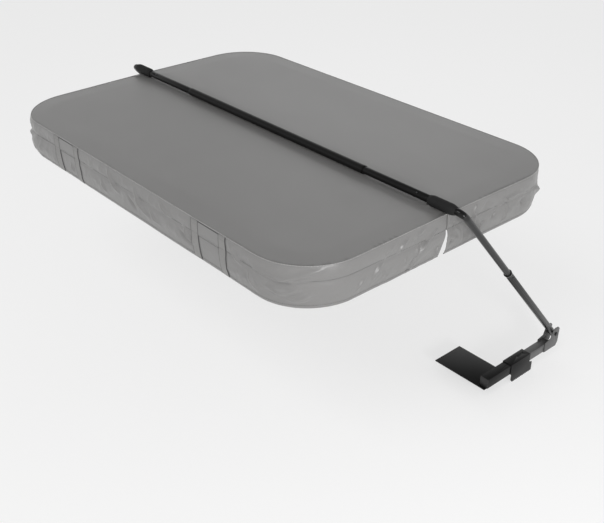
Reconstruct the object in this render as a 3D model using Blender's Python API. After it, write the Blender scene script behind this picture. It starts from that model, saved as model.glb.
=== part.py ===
"""Bi-fold spa cover carried by an under-mount lifter.

Units are metres and +Z is up. X runs along the fold and +Y points to the back of the spa. The
origin is the middle of the spa's footprint, at the level that the spa's base stands on.
"""
from math import cos, pi, radians, sin, tan

import bmesh
import bpy
from mathutils import Matrix, Vector

# Cover: two foam halves that meet at the fold.
HALF_WIDTH = 1.050
HALF_DEPTH = 0.730
CORNER_RADIUS = 0.250
EDGE_TOP = 0.972
FOLD_TOP = 0.978
JACKET_BOTTOM = 0.904
FOLD_GAP = 0.004
VINYL = 0.0016
CORE_CLEARANCE = 0.0006
TOUCH = 0.0003
CORNER_STEPS = 10
UNDERSIDE_MARGIN = 0.022
UNDERSIDE_REBATE = 0.0005

SKIRT_BOTTOM = 0.795
SKIRT_THICKNESS = 0.002
SKIRT_TOP_INSET = 0.001
SKIRT_TUCK = 0.014
SKIRT_SPLIT = 0.018

CHANNEL_SHEET = 0.0012
CHANNEL_FLANGE = 0.040
CHANNEL_LENGTH = 2.040
CHANNEL_RELIEF = 0.0008
CHANNEL_CUT_LENGTH = 2.310

ZIP_LENGTH = 1.900
ZIP_WIDTH = 0.010
ZIP_CENTRE = 0.930
ZIP_CUT_DEPTH = 0.0019
SLIDER_STOP = 0.900
SLIDER_SIZE = (0.012, 0.0023, 0.008)
PULL_WIDTH = 0.006
PULL_Y = (0.0012, 0.0022)
PULL_BELOW = (0.002, 0.020)

HANDLE_CENTRE = 0.530
STRAP_OFFSET = 0.086
STRAP_WIDTH = 0.045
STRAP_THICKNESS = 0.002
STRAP_TOP = 0.968
STRAP_HEM_GAP = 0.002
STRAP_TUCK = 0.0132
BAND_SEAM = 0.908

HINGE_X = 0.945
HINGE_Y = (-0.003, 0.036)
HINGE_SHEET = 0.002
SEAL_X = 0.990
SEAL_FRONT = -0.0015
SEAL_Z = (0.942, 0.968)

# Lifter: cross bar over the fold, two arms, and a clamped base on each side.
BAR_HEIGHT = 1.001
CENTRE_TUBE_RADIUS = 0.0180
OUTER_TUBE_RADIUS = 0.0160
INNER_TUBE_RADIUS = 0.0140
TUBE_WALL = 0.0016
CENTRE_TUBE_END = 0.605
SIDE_TUBE_START = 0.450
SIDE_TUBE_END = 0.956
ELBOW_START = 0.800
ELBOW_CORNER = 1.125
ELBOW_RADIUS = 0.032
ELBOW_STEPS = 8
TUBE_SIDES = 28

GRIP_START = 0.9568
GRIP_END = 1.090
GRIP_RADIUS = 0.0223
GRIP_ROUNDING = (0.009, 0.0072)
GRIP_STEPS = 4
GRIP_BORE_CLEARANCE = 0.0004

PIVOT = Vector((1.075, 0.825, 0.072))
ARM_JOINT = 0.547
ARM_OVERLAP = 0.120
ARM_TAIL = 0.018
PIVOT_BORE_REACH = 0.030
BUSH_INNER_END = 0.008
BAR_BUTTON_X = 0.900
ARM_BUTTON_BELOW_JOINT = 0.030

BUTTON_RADIUS = 0.0034
BUTTON_HOLE_RADIUS = 0.0039
BUTTON_REACH = 0.0190
BUTTON_DOME = 0.001
BUTTON_CROWN = 0.0020
BUTTON_FOOT = 0.0090
BUTTON_HOLE_REACH = 0.024
BUTTON_SIDES = 16
BUTTON_LEAF_DEPTH = 0.0095
BUTTON_LEAF = (0.030, 0.008, 0.0010)

BOLT_RADIUS = 0.005
BOLT_HOLE_RADIUS = 0.0054
BUSH_RADIUS = 0.007
BUSH_HOLE_RADIUS = 0.0074
HEX_RADIUS = 0.0098
HEX_HEIGHT = 0.006
BOLT_SIDES = 20
BOLT_TAIL = 0.002
CHEEK_SHEET = 0.003
CHEEK_GAP = 0.0386
CHEEK_BORE_REACH = 0.0323
CLEVIS_WEB_Y = (0.748, 0.838)
CHEEK_OUTLINE = (
    (0.748, 0.001), (0.748, 0.052), (0.788, 0.060), (0.802, 0.098), (0.816, 0.108), (0.840, 0.106),
    (0.852, 0.094), (0.850, 0.020), (0.838, 0.001))

BASE_CENTRE = 1.075
SLIDE_TUBE_WIDTH = 0.038
SLIDE_TUBE_LOW = 0.0033
SLIDE_TUBE_HIGH = 0.0453
SLIDE_TUBE_Y = (0.470, 0.788)
RECEIVER_WIDTH = 0.044
RECEIVER_HIGH = 0.0483
RECEIVER_Y = (0.333, 0.620)
BASE_WALL = 0.0025
PLATE_X = (0.800, 1.090)
PLATE_Y = (0.317, 0.489)
PLATE_SHEET = 0.004
PLATE_FREE_X = 1.0505
PLATE_REBATE = 0.0005
CAP_FLANGE = 0.003
CAP_PLUG_REACH = 0.012
CAP_OVERLAP = 0.001
SADDLE_Y = (0.492, 0.632)
SADDLE_SHEET = 0.0025
SADDLE_INNER_WIDTH = 0.0456
SADDLE_TOP = 0.0515
SADDLE_INNER_LEG_LOW = 0.002
SADDLE_WELD = 0.001
CLAMP_SCREW_Y = (0.565, 0.605)
CLAMP_SCREW_RADIUS = 0.004
CLAMP_HOLE_RADIUS = 0.0044
CLAMP_HOLE_Z = (0.0454, 0.0565)
CLAMP_SCREW_DROP = 0.0005
CLAMP_SIDES = 16
SOCKET_RADIUS = 0.0023
SOCKET_DEPTH = 0.0030
SOCKET_CLEAR = 0.001
LEG_FRONT = ((0.0, 0.0), (0.008, -0.006), (0.008, -0.036))
LEG_REAR = ((0.020, -0.002), (0.0, 0.006))
FIRST_TOOTH = 0.016
LAST_TOOTH = 0.020
TOOTH_COUNT = 13
TOOTH_DEPTH = 0.006
TOOTH_ROOT = -0.046

FINISHES = {
    "vinyl": ((0.235, 0.232, 0.226), 0.55, 0.0),
    "webbing": ((0.215, 0.212, 0.206), 0.85, 0.0),
    "foam": ((0.86, 0.87, 0.88), 0.90, 0.0),
    "galvanised": ((0.60, 0.61, 0.62), 0.45, 1.0),
    "zip": ((0.06, 0.06, 0.06), 0.60, 0.0),
    "black_tube": ((0.022, 0.022, 0.023), 0.42, 0.6),
    "grip_foam": ((0.020, 0.020, 0.021), 0.85, 0.0),
    "arm_tube": ((0.070, 0.070, 0.072), 0.45, 0.7),
    "base_black": ((0.012, 0.012, 0.012), 0.60, 0.3),
    "zinc": ((0.52, 0.52, 0.54), 0.35, 1.0),
    "nylon": ((0.035, 0.035, 0.036), 0.55, 0.0),
}


def finish(name):
    """One material for each finish, made the first time it is asked for."""
    material = bpy.data.materials.get(name)
    if material:
        return material
    color, roughness, metallic = FINISHES[name]
    material = bpy.data.materials.new(name)
    material.use_nodes = True
    shader = material.node_tree.nodes["Principled BSDF"]
    shader.inputs["Base Color"].default_value = (*color, 1.0)
    shader.inputs["Roughness"].default_value = roughness
    shader.inputs["Metallic"].default_value = metallic
    return material


def axis_empty(name, position, parent=None):
    """An empty on a joint's axis, which carries the pieces that turn about it."""
    empty = bpy.data.objects.new(name, None)
    bpy.context.collection.objects.link(empty)
    empty.empty_display_size = 0.05
    empty.parent = parent
    empty.location = Vector(position) - world_origin(parent)
    return empty


def world_origin(item):
    """Where an unturned object's origin lies in the world."""
    place = Vector((0.0, 0.0, 0.0))
    while item:
        place += item.location
        item = item.parent
    return place


def place(name, shape, finish_name, parent=None, origin=None):
    """Turn a mesh drawn in world coordinates into a named object with its origin on `origin`."""
    anchor = world_origin(parent) if origin is None else Vector(origin)
    bmesh.ops.translate(shape, verts=shape.verts, vec=-anchor)
    bmesh.ops.recalc_face_normals(shape, faces=shape.faces)
    mesh = bpy.data.meshes.new(name)
    shape.to_mesh(mesh)
    shape.free()
    mesh.shade_smooth()
    mesh.set_sharp_from_angle(angle=radians(30))
    mesh.materials.append(finish(finish_name))
    item = bpy.data.objects.new(name, mesh)
    bpy.context.collection.objects.link(item)
    item.parent = parent
    item.location = anchor - world_origin(parent)
    return item


def combine(item, shape, operation):
    """Cut a tool shape out of an object, or weld it on, with a Boolean modifier."""
    tool = place(f"{item.name}_tool_{len(item.modifiers)}", shape, "zinc", item)
    tool.hide_render = True
    tool.display_type = "WIRE"
    modifier = item.modifiers.new(operation.lower(), "BOOLEAN")
    modifier.operation = operation
    modifier.solver = "EXACT"
    modifier.object = tool


def box(low, high):
    """An axis-aligned block from its lowest to its highest corner."""
    shape = bmesh.new()
    size = Vector(high) - Vector(low)
    middle = (Vector(high) + Vector(low)) / 2
    bmesh.ops.create_cube(shape, size=1.0, matrix=Matrix.Translation(middle) @ Matrix.Diagonal((*size, 1.0)))
    return shape


def rod(start, end, radius, sides=TUBE_SIDES):
    """A solid cylinder between two points; six sides make a hexagon."""
    start, end = Vector(start), Vector(end)
    turn = (end - start).to_track_quat("Z", "Y").to_matrix().to_4x4()
    shape = bmesh.new()
    bmesh.ops.create_cone(
        shape, cap_ends=True, segments=sides, radius1=radius, radius2=radius, depth=(end - start).length,
        matrix=Matrix.Translation((start + end) / 2) @ turn)
    return shape


def extrusion(points, travel):
    """A flat outline pushed along a straight travel."""
    shape = bmesh.new()
    face = shape.faces.new([shape.verts.new(point) for point in points])
    pushed = bmesh.ops.extrude_face_region(shape, geom=[face])["geom"]
    corners = [item for item in pushed if isinstance(item, bmesh.types.BMVert)]
    bmesh.ops.translate(shape, verts=corners, vec=travel)
    return shape


def loft(loops, closed_along=False, caps=True):
    """Skin a row of equal loops; `closed_along` joins the last loop to the first."""
    shape = bmesh.new()
    rows = [[shape.verts.new(point) for point in loop] for loop in loops]
    pairs = list(zip(rows, rows[1:]))
    if closed_along:
        pairs.append((rows[-1], rows[0]))
    for row, following in pairs:
        for index in range(len(row)):
            after = (index + 1) % len(row)
            shape.faces.new((row[index], row[after], following[after], following[index]))
    if caps and not closed_along:
        shape.faces.new(rows[0])
        shape.faces.new(rows[-1])
    return shape


def pipe(path, normal, outer, inner):
    """A hollow tube along a flat path whose plane has the given normal."""
    centres = [Vector(point) for point in path]
    normal = Vector(normal).normalized()
    rings = []
    for radius, order in ((outer, range(len(centres))), (inner, reversed(range(len(centres))))):
        for index in order:
            before = centres[max(index - 1, 0)]
            after = centres[min(index + 1, len(centres) - 1)]
            side = (after - before).normalized().cross(normal)
            rings.append([
                centres[index] + (normal * cos(turn) + side * sin(turn)) * radius
                for turn in (2 * pi * step / TUBE_SIDES for step in range(TUBE_SIDES))])
    return loft(rings, closed_along=True)


def turned(profile, start, direction):
    """A profile of (distance, radius) points turned about a line; a closed ring section."""
    start, direction = Vector(start), Vector(direction).normalized()
    first = direction.orthogonal().normalized()
    second = direction.cross(first)
    loops = []
    for distance, radius in profile:
        loops.append([
            start + direction * distance + (first * cos(turn) + second * sin(turn)) * radius
            for turn in (2 * pi * step / TUBE_SIDES for step in range(TUBE_SIDES))])
    return loft(loops, closed_along=True)


def mirrored(point, side):
    """The point on the right (+1) or left (-1) side."""
    return Vector((point[0] * side, point[1], point[2]))


# ---------------------------------------------------------------- cover halves

def top_height(depth):
    """The lid's top slopes down a little from the fold to its outer edge, so that rain runs off."""
    return FOLD_TOP - (FOLD_TOP - EDGE_TOP) * abs(depth) / HALF_DEPTH


def half_outline(side, inset, fold_gap):
    """Plan of one half, from its fold end on +X round both rounded corners to the fold end on -X."""
    radius = CORNER_RADIUS - inset
    centre_x = HALF_WIDTH - CORNER_RADIUS
    centre_y = HALF_DEPTH - CORNER_RADIUS
    turns = [pi / 2 * step / CORNER_STEPS for step in range(CORNER_STEPS + 1)]
    right = [(centre_x + radius * cos(turn), centre_y + radius * sin(turn)) for turn in turns]
    left = [(-x, y) for x, y in reversed(right)]
    width = HALF_WIDTH - inset
    plan = [(width, fold_gap)] + right + left + [(-width, fold_gap)]
    return [(x, side * y) for x, y in plan]


def half_slab(side, inset, fold_gap, bottom, top_drop):
    """A slab with the plan of one half and the lid's sloping top."""
    plan = half_outline(side, inset, fold_gap)
    low = [(x, y, bottom) for x, y in plan]
    high = [(x, y, top_height(y) - top_drop) for x, y in plan]
    return loft([low, high])


def jacket_slab(side):
    """Outside of one jacket, whose underside steps up by a hair at its margin, where the skirt hangs."""
    edge = half_outline(side, 0.0, FOLD_GAP)
    centre = half_outline(side, UNDERSIDE_MARGIN, FOLD_GAP + UNDERSIDE_MARGIN)
    margin = JACKET_BOTTOM + UNDERSIDE_REBATE
    return loft([
        [(x, y, JACKET_BOTTOM) for x, y in centre], [(x, y, margin) for x, y in centre],
        [(x, y, margin) for x, y in edge], [(x, y, top_height(y)) for x, y in edge]])


def channel_profile(side, growth):
    """Section of the steel channel that stiffens the fold edge of a core, grown all round."""
    fold = FOLD_GAP + VINYL + CORE_CLEARANCE - growth
    flange = fold + CHANNEL_FLANGE + 2 * growth
    low = JACKET_BOTTOM + VINYL + CORE_CLEARANCE - growth
    high = top_height(flange) - VINYL - CORE_CLEARANCE + growth
    sheet = CHANNEL_SHEET + 2 * growth
    section = [
        (fold, low), (flange, low), (flange, low + sheet), (fold + sheet, low + sheet),
        (fold + sheet, high - sheet), (flange, high - sheet), (flange, high), (fold, high)]
    return [(side * y, z) for y, z in section]


def channel_shape(side, growth, length):
    section = channel_profile(side, growth)
    return extrusion([(-length / 2, y, z) for y, z in section], (length, 0.0, 0.0))


def make_half(name, side, axis):
    """Foam core, stiffening channel, vinyl jacket and zip of one half."""
    inset = VINYL + CORE_CLEARANCE
    core = place(
        f"{name}_core",
        half_slab(side, inset, FOLD_GAP + inset, JACKET_BOTTOM + inset, inset), "foam", axis)
    combine(core, channel_shape(side, CHANNEL_RELIEF, CHANNEL_CUT_LENGTH), "DIFFERENCE")
    place(f"{name}_channel", channel_shape(side, 0.0, CHANNEL_LENGTH), "galvanised", axis)

    jacket = place(f"{name}_jacket", jacket_slab(side), "vinyl", axis)
    combine(jacket, half_slab(side, VINYL, FOLD_GAP + VINYL, JACKET_BOTTOM + VINYL, VINYL), "DIFFERENCE")
    half_slot = ZIP_WIDTH / 2
    near, far = sorted((side * (FOLD_GAP - VINYL), side * (FOLD_GAP + ZIP_CUT_DEPTH)))
    combine(
        jacket,
        box((-ZIP_LENGTH / 2, near, ZIP_CENTRE - half_slot), (ZIP_LENGTH / 2, far, ZIP_CENTRE + half_slot)),
        "DIFFERENCE")
    near, far = sorted((side * FOLD_GAP, side * (FOLD_GAP + VINYL)))
    place(
        f"{name}_zip",
        box(
            (-ZIP_LENGTH / 2 + TOUCH, near, ZIP_CENTRE - half_slot + TOUCH),
            (ZIP_LENGTH / 2 - TOUCH, far, ZIP_CENTRE + half_slot - TOUCH)),
        "zip", axis)
    make_slider(name, side, axis)
    make_skirt(name, side, axis)


def make_slider(name, side, axis):
    """Zip slider with its pull, parked at one end of the zip."""
    park = side * SLIDER_STOP
    length, depth, height = SLIDER_SIZE
    inner, outer = sorted((side * (FOLD_GAP - TOUCH), side * (FOLD_GAP - TOUCH - depth)))
    low, high = ZIP_CENTRE - height / 2, ZIP_CENTRE + height / 2
    slider = place(
        f"{name}_zip_slider", box((park - length / 2, inner, low), (park + length / 2, outer, high)),
        "zinc", axis, (park, side * FOLD_GAP, ZIP_CENTRE))
    inner, outer = sorted(side * (FOLD_GAP - proud) for proud in PULL_Y)
    low, high = ZIP_CENTRE - PULL_BELOW[1], ZIP_CENTRE - PULL_BELOW[0]
    combine(slider, box((park - PULL_WIDTH / 2, inner, low), (park + PULL_WIDTH / 2, outer, high)), "UNION")


def make_skirt(name, side, axis):
    """Vinyl flap round the three outer sides, tucked in at its hem and parted at the fold."""
    top = JACKET_BOTTOM + UNDERSIDE_REBATE - TOUCH
    outside = half_outline(side, SKIRT_TOP_INSET, FOLD_GAP)
    hem_out = half_outline(side, SKIRT_TUCK, SKIRT_SPLIT)
    hem_in = half_outline(side, SKIRT_TUCK + SKIRT_THICKNESS, SKIRT_SPLIT)
    inside = half_outline(side, SKIRT_TOP_INSET + SKIRT_THICKNESS, FOLD_GAP)
    sections = []
    for corners in zip(outside, hem_out, hem_in, inside):
        heights = (top, SKIRT_BOTTOM, SKIRT_BOTTOM, top)
        sections.append([(x, y, z) for (x, y), z in zip(corners, heights)])
    place(f"{name}_skirt", loft(sections), "vinyl", axis)


def make_handles(axis):
    """Two grab handles on the front edge: a panel sewn between two webbing straps."""
    wall = -HALF_DEPTH - TOUCH
    hem = -HALF_DEPTH + STRAP_TUCK
    foot = SKIRT_BOTTOM + STRAP_HEM_GAP
    outward = -STRAP_THICKNESS
    section = [
        (wall, STRAP_TOP), (wall, JACKET_BOTTOM), (hem, foot),
        (hem + outward, foot), (wall + outward, JACKET_BOTTOM), (wall + outward, STRAP_TOP)]
    for handle, middle in (("left", -HANDLE_CENTRE), ("right", HANDLE_CENTRE)):
        for strap, offset in (("a", -STRAP_OFFSET), ("b", STRAP_OFFSET)):
            start = middle + offset - STRAP_WIDTH / 2
            place(
                f"handle_{handle}_strap_{strap}",
                extrusion([(start, y, z) for y, z in section], (STRAP_WIDTH, 0.0, 0.0)),
                "webbing", axis)
        reach = STRAP_OFFSET - STRAP_WIDTH / 2 - TOUCH
        place(
            f"handle_{handle}_panel",
            box((middle - reach, wall + outward, BAND_SEAM), (middle + reach, wall, STRAP_TOP)),
            "webbing", axis)


def make_fold(axis):
    """Hinge strip over the fold and the foam seal pad between the two fold faces."""
    place(
        "fold_hinge",
        box((-HINGE_X, HINGE_Y[0], FOLD_TOP + TOUCH), (HINGE_X, HINGE_Y[1], FOLD_TOP + TOUCH + HINGE_SHEET)),
        "vinyl", axis)
    place(
        "hinge_seal",
        box((-SEAL_X, SEAL_FRONT, SEAL_Z[0]), (SEAL_X, FOLD_GAP - TOUCH, SEAL_Z[1])), "vinyl", axis)


# ---------------------------------------------------------------- cross bar and arms

def arm_line(side):
    """Corner of the elbow, direction down the arm and its length to the pivot."""
    corner = mirrored((ELBOW_CORNER, 0.0, BAR_HEIGHT), side)
    reach = mirrored(PIVOT, side) - corner
    return corner, reach.normalized(), reach.length


def make_bar(side, name, lift):
    """Side tube, foam grip and elbow of the cross bar."""
    bar = Vector((0.0, 0.0, BAR_HEIGHT))
    across = Vector((side, 0.0, 0.0))
    tube = place(
        f"bar_tube_{name}",
        pipe((bar + across * SIDE_TUBE_START, bar + across * SIDE_TUBE_END), (0.0, 0.0, 1.0),
             OUTER_TUBE_RADIUS, OUTER_TUBE_RADIUS - TUBE_WALL), "black_tube", lift)
    bore = INNER_TUBE_RADIUS + GRIP_BORE_CLEARANCE
    length = GRIP_END - GRIP_START
    turns = [pi / 2 * step / GRIP_STEPS for step in range(GRIP_STEPS + 1)]
    along, drop = GRIP_ROUNDING
    rounding = [(along * (1 - cos(turn)), GRIP_RADIUS - drop * (1 - sin(turn))) for turn in turns]
    profile = [(0.0, bore)] + rounding
    profile += [(length - distance, radius) for distance, radius in reversed(rounding)]
    profile.append((length, bore))
    place(f"grip_{name}", turned(profile, bar + across * GRIP_START, across), "grip_foam", lift)

    corner, down, _ = arm_line(side)
    spread = across.angle(down)
    reach = ELBOW_RADIUS * tan(spread / 2)
    inward = (down - across).normalized()
    middle = corner + inward * (ELBOW_RADIUS / cos(spread / 2))
    normal = across.cross(down).normalized()
    path = [bar + across * ELBOW_START]
    for step in range(ELBOW_STEPS + 1):
        turn = Matrix.Rotation(spread * step / ELBOW_STEPS, 3, normal)
        path.append(middle + turn @ (corner - across * reach - middle))
    path.append(corner + down * (ARM_JOINT + ARM_OVERLAP))
    elbow = place(
        f"elbow_{name}", pipe(path, normal, INNER_TUBE_RADIUS, INNER_TUBE_RADIUS - TUBE_WALL), "arm_tube", lift)
    outward = Vector((0.0, -sin(radians(45)), cos(radians(45))))
    make_button(f"bar_button_{name}", bar + across * BAR_BUTTON_X, outward, across, (tube, elbow), lift)
    return elbow


def make_arm(side, name, lift, elbow):
    """Lower arm tube with its snap button and the two nylon bushes at the pivot."""
    corner, down, length = arm_line(side)
    across = Vector((side, 0.0, 0.0))
    normal = across.cross(down).normalized()
    start = corner + down * ARM_JOINT
    end = corner + down * (length + ARM_TAIL)
    tube = place(
        f"arm_lower_{name}",
        pipe((start, end), normal, OUTER_TUBE_RADIUS, OUTER_TUBE_RADIUS - TUBE_WALL), "arm_tube", lift)
    pivot = mirrored(PIVOT, side)
    bore = across * PIVOT_BORE_REACH
    combine(tube, rod(pivot - bore, pivot + bore, BUSH_HOLE_RADIUS), "DIFFERENCE")
    outward = (across - down * across.dot(down)).normalized()
    seat = corner + down * (ARM_JOINT + ARM_BUTTON_BELOW_JOINT)
    make_button(f"arm_button_{name}", seat, outward, down, (tube, elbow), lift)
    for bush, direction in (("outer", 1.0), ("inner", -1.0)):
        axis = across * direction
        reach = CHEEK_GAP / 2 - TOUCH
        ring = [
            (BUSH_INNER_END, BOLT_HOLE_RADIUS), (BUSH_INNER_END, BUSH_RADIUS), (reach, BUSH_RADIUS),
            (reach, BOLT_HOLE_RADIUS)]
        place(f"pivot_bush_{name}_{bush}", turned(ring, pivot, axis), "nylon", lift)


def make_button(name, seat, outward, along, tubes, lift):
    """Spring snap button: a domed pin on a leaf inside the tube, through a hole in both tubes."""
    beyond = seat + outward * BUTTON_HOLE_REACH
    for tube in tubes:
        combine(tube, rod(seat, beyond, BUTTON_HOLE_RADIUS, BUTTON_SIDES), "DIFFERENCE")
    shoulder = BUTTON_REACH - BUTTON_DOME
    pin = ((BUTTON_FOOT, BUTTON_RADIUS), (shoulder, BUTTON_RADIUS), (BUTTON_REACH, BUTTON_CROWN))
    second = outward.cross(along)
    loops = []
    for distance, radius in pin:
        loops.append([
            seat + outward * distance + (along * cos(turn) + second * sin(turn)) * radius
            for turn in (2 * pi * step / BUTTON_SIDES for step in range(BUTTON_SIDES))])
    button = place(name, loft(loops), "zinc", lift, seat)
    length, width, sheet = BUTTON_LEAF
    turn = Matrix((along, second, outward)).transposed().to_4x4()
    middle = seat + outward * (BUTTON_LEAF_DEPTH - sheet / 2)
    leaf = bmesh.new()
    bmesh.ops.create_cube(
        leaf, size=1.0, matrix=Matrix.Translation(middle) @ turn @ Matrix.Diagonal((length, width, sheet, 1.0)))
    combine(button, leaf, "UNION")


# ---------------------------------------------------------------- base on each side

def square_tube(low, high):
    """A rectangular tube along Y, open at both ends."""
    (x0, y0, z0), (x1, y1, z1) = low, high
    outside = [(x0, z0), (x1, z0), (x1, z1), (x0, z1)]
    wall = BASE_WALL
    inside = [(x0 + wall, z0 + wall), (x1 - wall, z0 + wall), (x1 - wall, z1 - wall), (x0 + wall, z1 - wall)]
    loops = []
    for ring, depth in ((outside, y0), (outside, y1), (inside, y1), (inside, y0)):
        loops.append([(x, depth, z) for x, z in ring])
    return loft(loops, closed_along=True)


def base_x(side, offset):
    """The x of an offset from the centre line of one base, outwards positive."""
    return side * (BASE_CENTRE + offset)


def base_span(side, half):
    """Lowest and highest x of a width centred on one base."""
    return sorted((base_x(side, -half), base_x(side, half)))


def make_base(side, name):
    """Under-spa plate, receiver, slide tube, saddle clamp, clevis and pivot bolt of one side."""
    make_plate(side, name)
    x0, x1 = base_span(side, RECEIVER_WIDTH / 2)
    receiver = place(
        f"receiver_{name}", square_tube((x0, RECEIVER_Y[0], TOUCH), (x1, RECEIVER_Y[1], RECEIVER_HIGH)),
        "base_black")
    make_end_cap(name, x0, x1)
    x0, x1 = base_span(side, SLIDE_TUBE_WIDTH / 2)
    place(
        f"slide_tube_{name}",
        square_tube((x0, SLIDE_TUBE_Y[0], SLIDE_TUBE_LOW), (x1, SLIDE_TUBE_Y[1], SLIDE_TUBE_HIGH)), "arm_tube")

    saddle = make_saddle(side, name)
    centre = base_x(side, 0.0)
    for index, depth in enumerate(CLAMP_SCREW_Y):
        hole = [(centre, depth, height) for height in CLAMP_HOLE_Z]
        combine(receiver, rod(*hole, CLAMP_HOLE_RADIUS, CLAMP_SIDES), "DIFFERENCE")
        combine(saddle, rod(*hole, CLAMP_HOLE_RADIUS, CLAMP_SIDES), "DIFFERENCE")
        foot = (centre, depth, SLIDE_TUBE_HIGH + TOUCH)
        head = Vector((centre, depth, SADDLE_TOP - CLAMP_SCREW_DROP))
        screw = place(
            f"clamp_screw_{name}_{index + 1}", rod(foot, head, CLAMP_SCREW_RADIUS, CLAMP_SIDES),
            "zinc", None, (centre, depth, SLIDE_TUBE_HIGH))
        socket = Vector((0.0, 0.0, SOCKET_DEPTH))
        clear = Vector((0.0, 0.0, SOCKET_CLEAR))
        combine(screw, rod(head - socket, head + clear, SOCKET_RADIUS, 6), "DIFFERENCE")
    make_clevis(side, name)
    make_pivot_bolt(side, name)


def make_plate(side, name):
    """Flat plate under the spa; the strip that the receiver lies on is a hair lower than its free face."""
    inner, free, outer = (side * x for x in (PLATE_X[0], PLATE_FREE_X, PLATE_X[1]))
    outline = [
        (inner, -PLATE_SHEET), (outer, -PLATE_SHEET), (outer, -PLATE_REBATE), (free, -PLATE_REBATE),
        (free, 0.0), (inner, 0.0)]
    place(
        f"base_plate_{name}",
        extrusion([(x, PLATE_Y[0], z) for x, z in outline], (0.0, PLATE_Y[1] - PLATE_Y[0], 0.0)), "base_black")


def make_end_cap(name, x0, x1):
    """Plastic cap pushed into the receiver's front end."""
    front = RECEIVER_Y[0] - TOUCH
    cap = place(
        f"end_cap_{name}", box((x0, front - CAP_FLANGE, TOUCH), (x1, front, RECEIVER_HIGH)), "nylon")
    inner = BASE_WALL + TOUCH
    low = (x0 + inner, front - CAP_OVERLAP, TOUCH + inner)
    high = (x1 - inner, front + CAP_PLUG_REACH, RECEIVER_HIGH - inner)
    combine(cap, box(low, high), "UNION")


def make_saddle(side, name):
    """Saddle over the receiver, whose outer leg hangs down as a toothed ground plate."""
    half = SADDLE_INNER_WIDTH / 2
    front, rear = SADDLE_Y
    x0, x1 = base_span(side, half + SADDLE_SHEET)
    saddle = place(
        f"saddle_{name}", box((x0, front, SADDLE_TOP - SADDLE_SHEET), (x1, rear, SADDLE_TOP)), "base_black")
    under = SADDLE_TOP - SADDLE_WELD
    x0, x1 = sorted((base_x(side, -half - SADDLE_SHEET), base_x(side, -half)))
    combine(saddle, box((x0, front, SADDLE_INNER_LEG_LOW), (x1, rear, under)), "UNION")
    outline = [(front, under)] + [(front + y, z) for y, z in LEG_FRONT]
    first = front + FIRST_TOOTH
    last = rear + LAST_TOOTH
    pitch = (last - first) / TOOTH_COUNT
    for tooth in range(TOOTH_COUNT):
        start = first + pitch * tooth
        outline += [(start, TOOTH_ROOT), (start + pitch / 2, TOOTH_ROOT - TOOTH_DEPTH)]
    outline.append((last, TOOTH_ROOT))
    outline += [(rear + y, z) for y, z in LEG_REAR]
    outline.append((rear, under))
    leg = base_x(side, half)
    combine(saddle, extrusion([(leg, y, z) for y, z in outline], (side * SADDLE_SHEET, 0.0, 0.0)), "UNION")
    return saddle


def make_clevis(side, name):
    """U bracket on the end of the slide tube: a web and two cheeks with a raised ear."""
    half = CHEEK_GAP / 2
    x0, x1 = base_span(side, half + CHEEK_SHEET)
    clevis = place(
        f"clevis_{name}", box((x0, CLEVIS_WEB_Y[0], 0.0), (x1, CLEVIS_WEB_Y[1], CHEEK_SHEET)), "arm_tube")
    for offset in (-half - CHEEK_SHEET, half):
        outline = [(base_x(side, offset), y, z) for y, z in CHEEK_OUTLINE]
        combine(clevis, extrusion(outline, (side * CHEEK_SHEET, 0.0, 0.0)), "UNION")
    pivot = mirrored(PIVOT, side)
    reach = Vector((CHEEK_BORE_REACH, 0.0, 0.0))
    combine(clevis, rod(pivot - reach, pivot + reach, BOLT_HOLE_RADIUS, BOLT_SIDES), "DIFFERENCE")


def make_pivot_bolt(side, name):
    """Hexagon bolt through the clevis, with its nut on the spa's side."""
    pivot = mirrored(PIVOT, side)
    across = Vector((side, 0.0, 0.0))
    face = CHEEK_GAP / 2 + CHEEK_SHEET + TOUCH
    nut_end = face + HEX_HEIGHT
    tip = pivot - across * (nut_end + BOLT_TAIL)
    neck = pivot + across * (face + BOLT_TAIL)
    bolt = place(f"pivot_bolt_{name}", rod(tip, neck, BOLT_RADIUS, BOLT_SIDES), "zinc", None, pivot)
    combine(bolt, rod(pivot + across * face, pivot + across * nut_end, HEX_RADIUS, 6), "UNION")
    nut = place(
        f"pivot_nut_{name}", rod(pivot - across * nut_end, pivot - across * face, HEX_RADIUS, 6),
        "zinc", None, pivot)
    inside = pivot - across * (face - BOLT_TAIL)
    combine(nut, rod(tip, inside, BOLT_HOLE_RADIUS, BOLT_SIDES), "DIFFERENCE")


# ---------------------------------------------------------------- whole assembly

for old in list(bpy.data.objects):
    bpy.data.objects.remove(old, do_unlink=True)

lift_axis = axis_empty("lift_axis", (0.0, PIVOT.y, PIVOT.z))
bar_axis = axis_empty("bar_axis", (0.0, 0.0, BAR_HEIGHT), lift_axis)

make_half("front", -1, bar_axis)
make_half("rear", 1, bar_axis)
make_handles(bar_axis)
make_fold(bar_axis)

bar_ends = ((-CENTRE_TUBE_END, 0.0, BAR_HEIGHT), (CENTRE_TUBE_END, 0.0, BAR_HEIGHT))
place(
    "bar_centre_tube", pipe(bar_ends, (0.0, 0.0, 1.0), CENTRE_TUBE_RADIUS, CENTRE_TUBE_RADIUS - TUBE_WALL),
    "black_tube", lift_axis)
for side_name, side_sign in (("left", -1), ("right", 1)):
    elbow_tube = make_bar(side_sign, side_name, lift_axis)
    make_arm(side_sign, side_name, lift_axis, elbow_tube)
    make_base(side_sign, side_name)
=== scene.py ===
"""Looks of a folding spa cover on its swing-back lifter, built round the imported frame. Metres, +Z up."""

from math import atan2, cos, exp, pi, radians, sin, tan

import bmesh
import bpy
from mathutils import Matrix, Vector, noise
from mathutils.bvhtree import BVHTree


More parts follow.
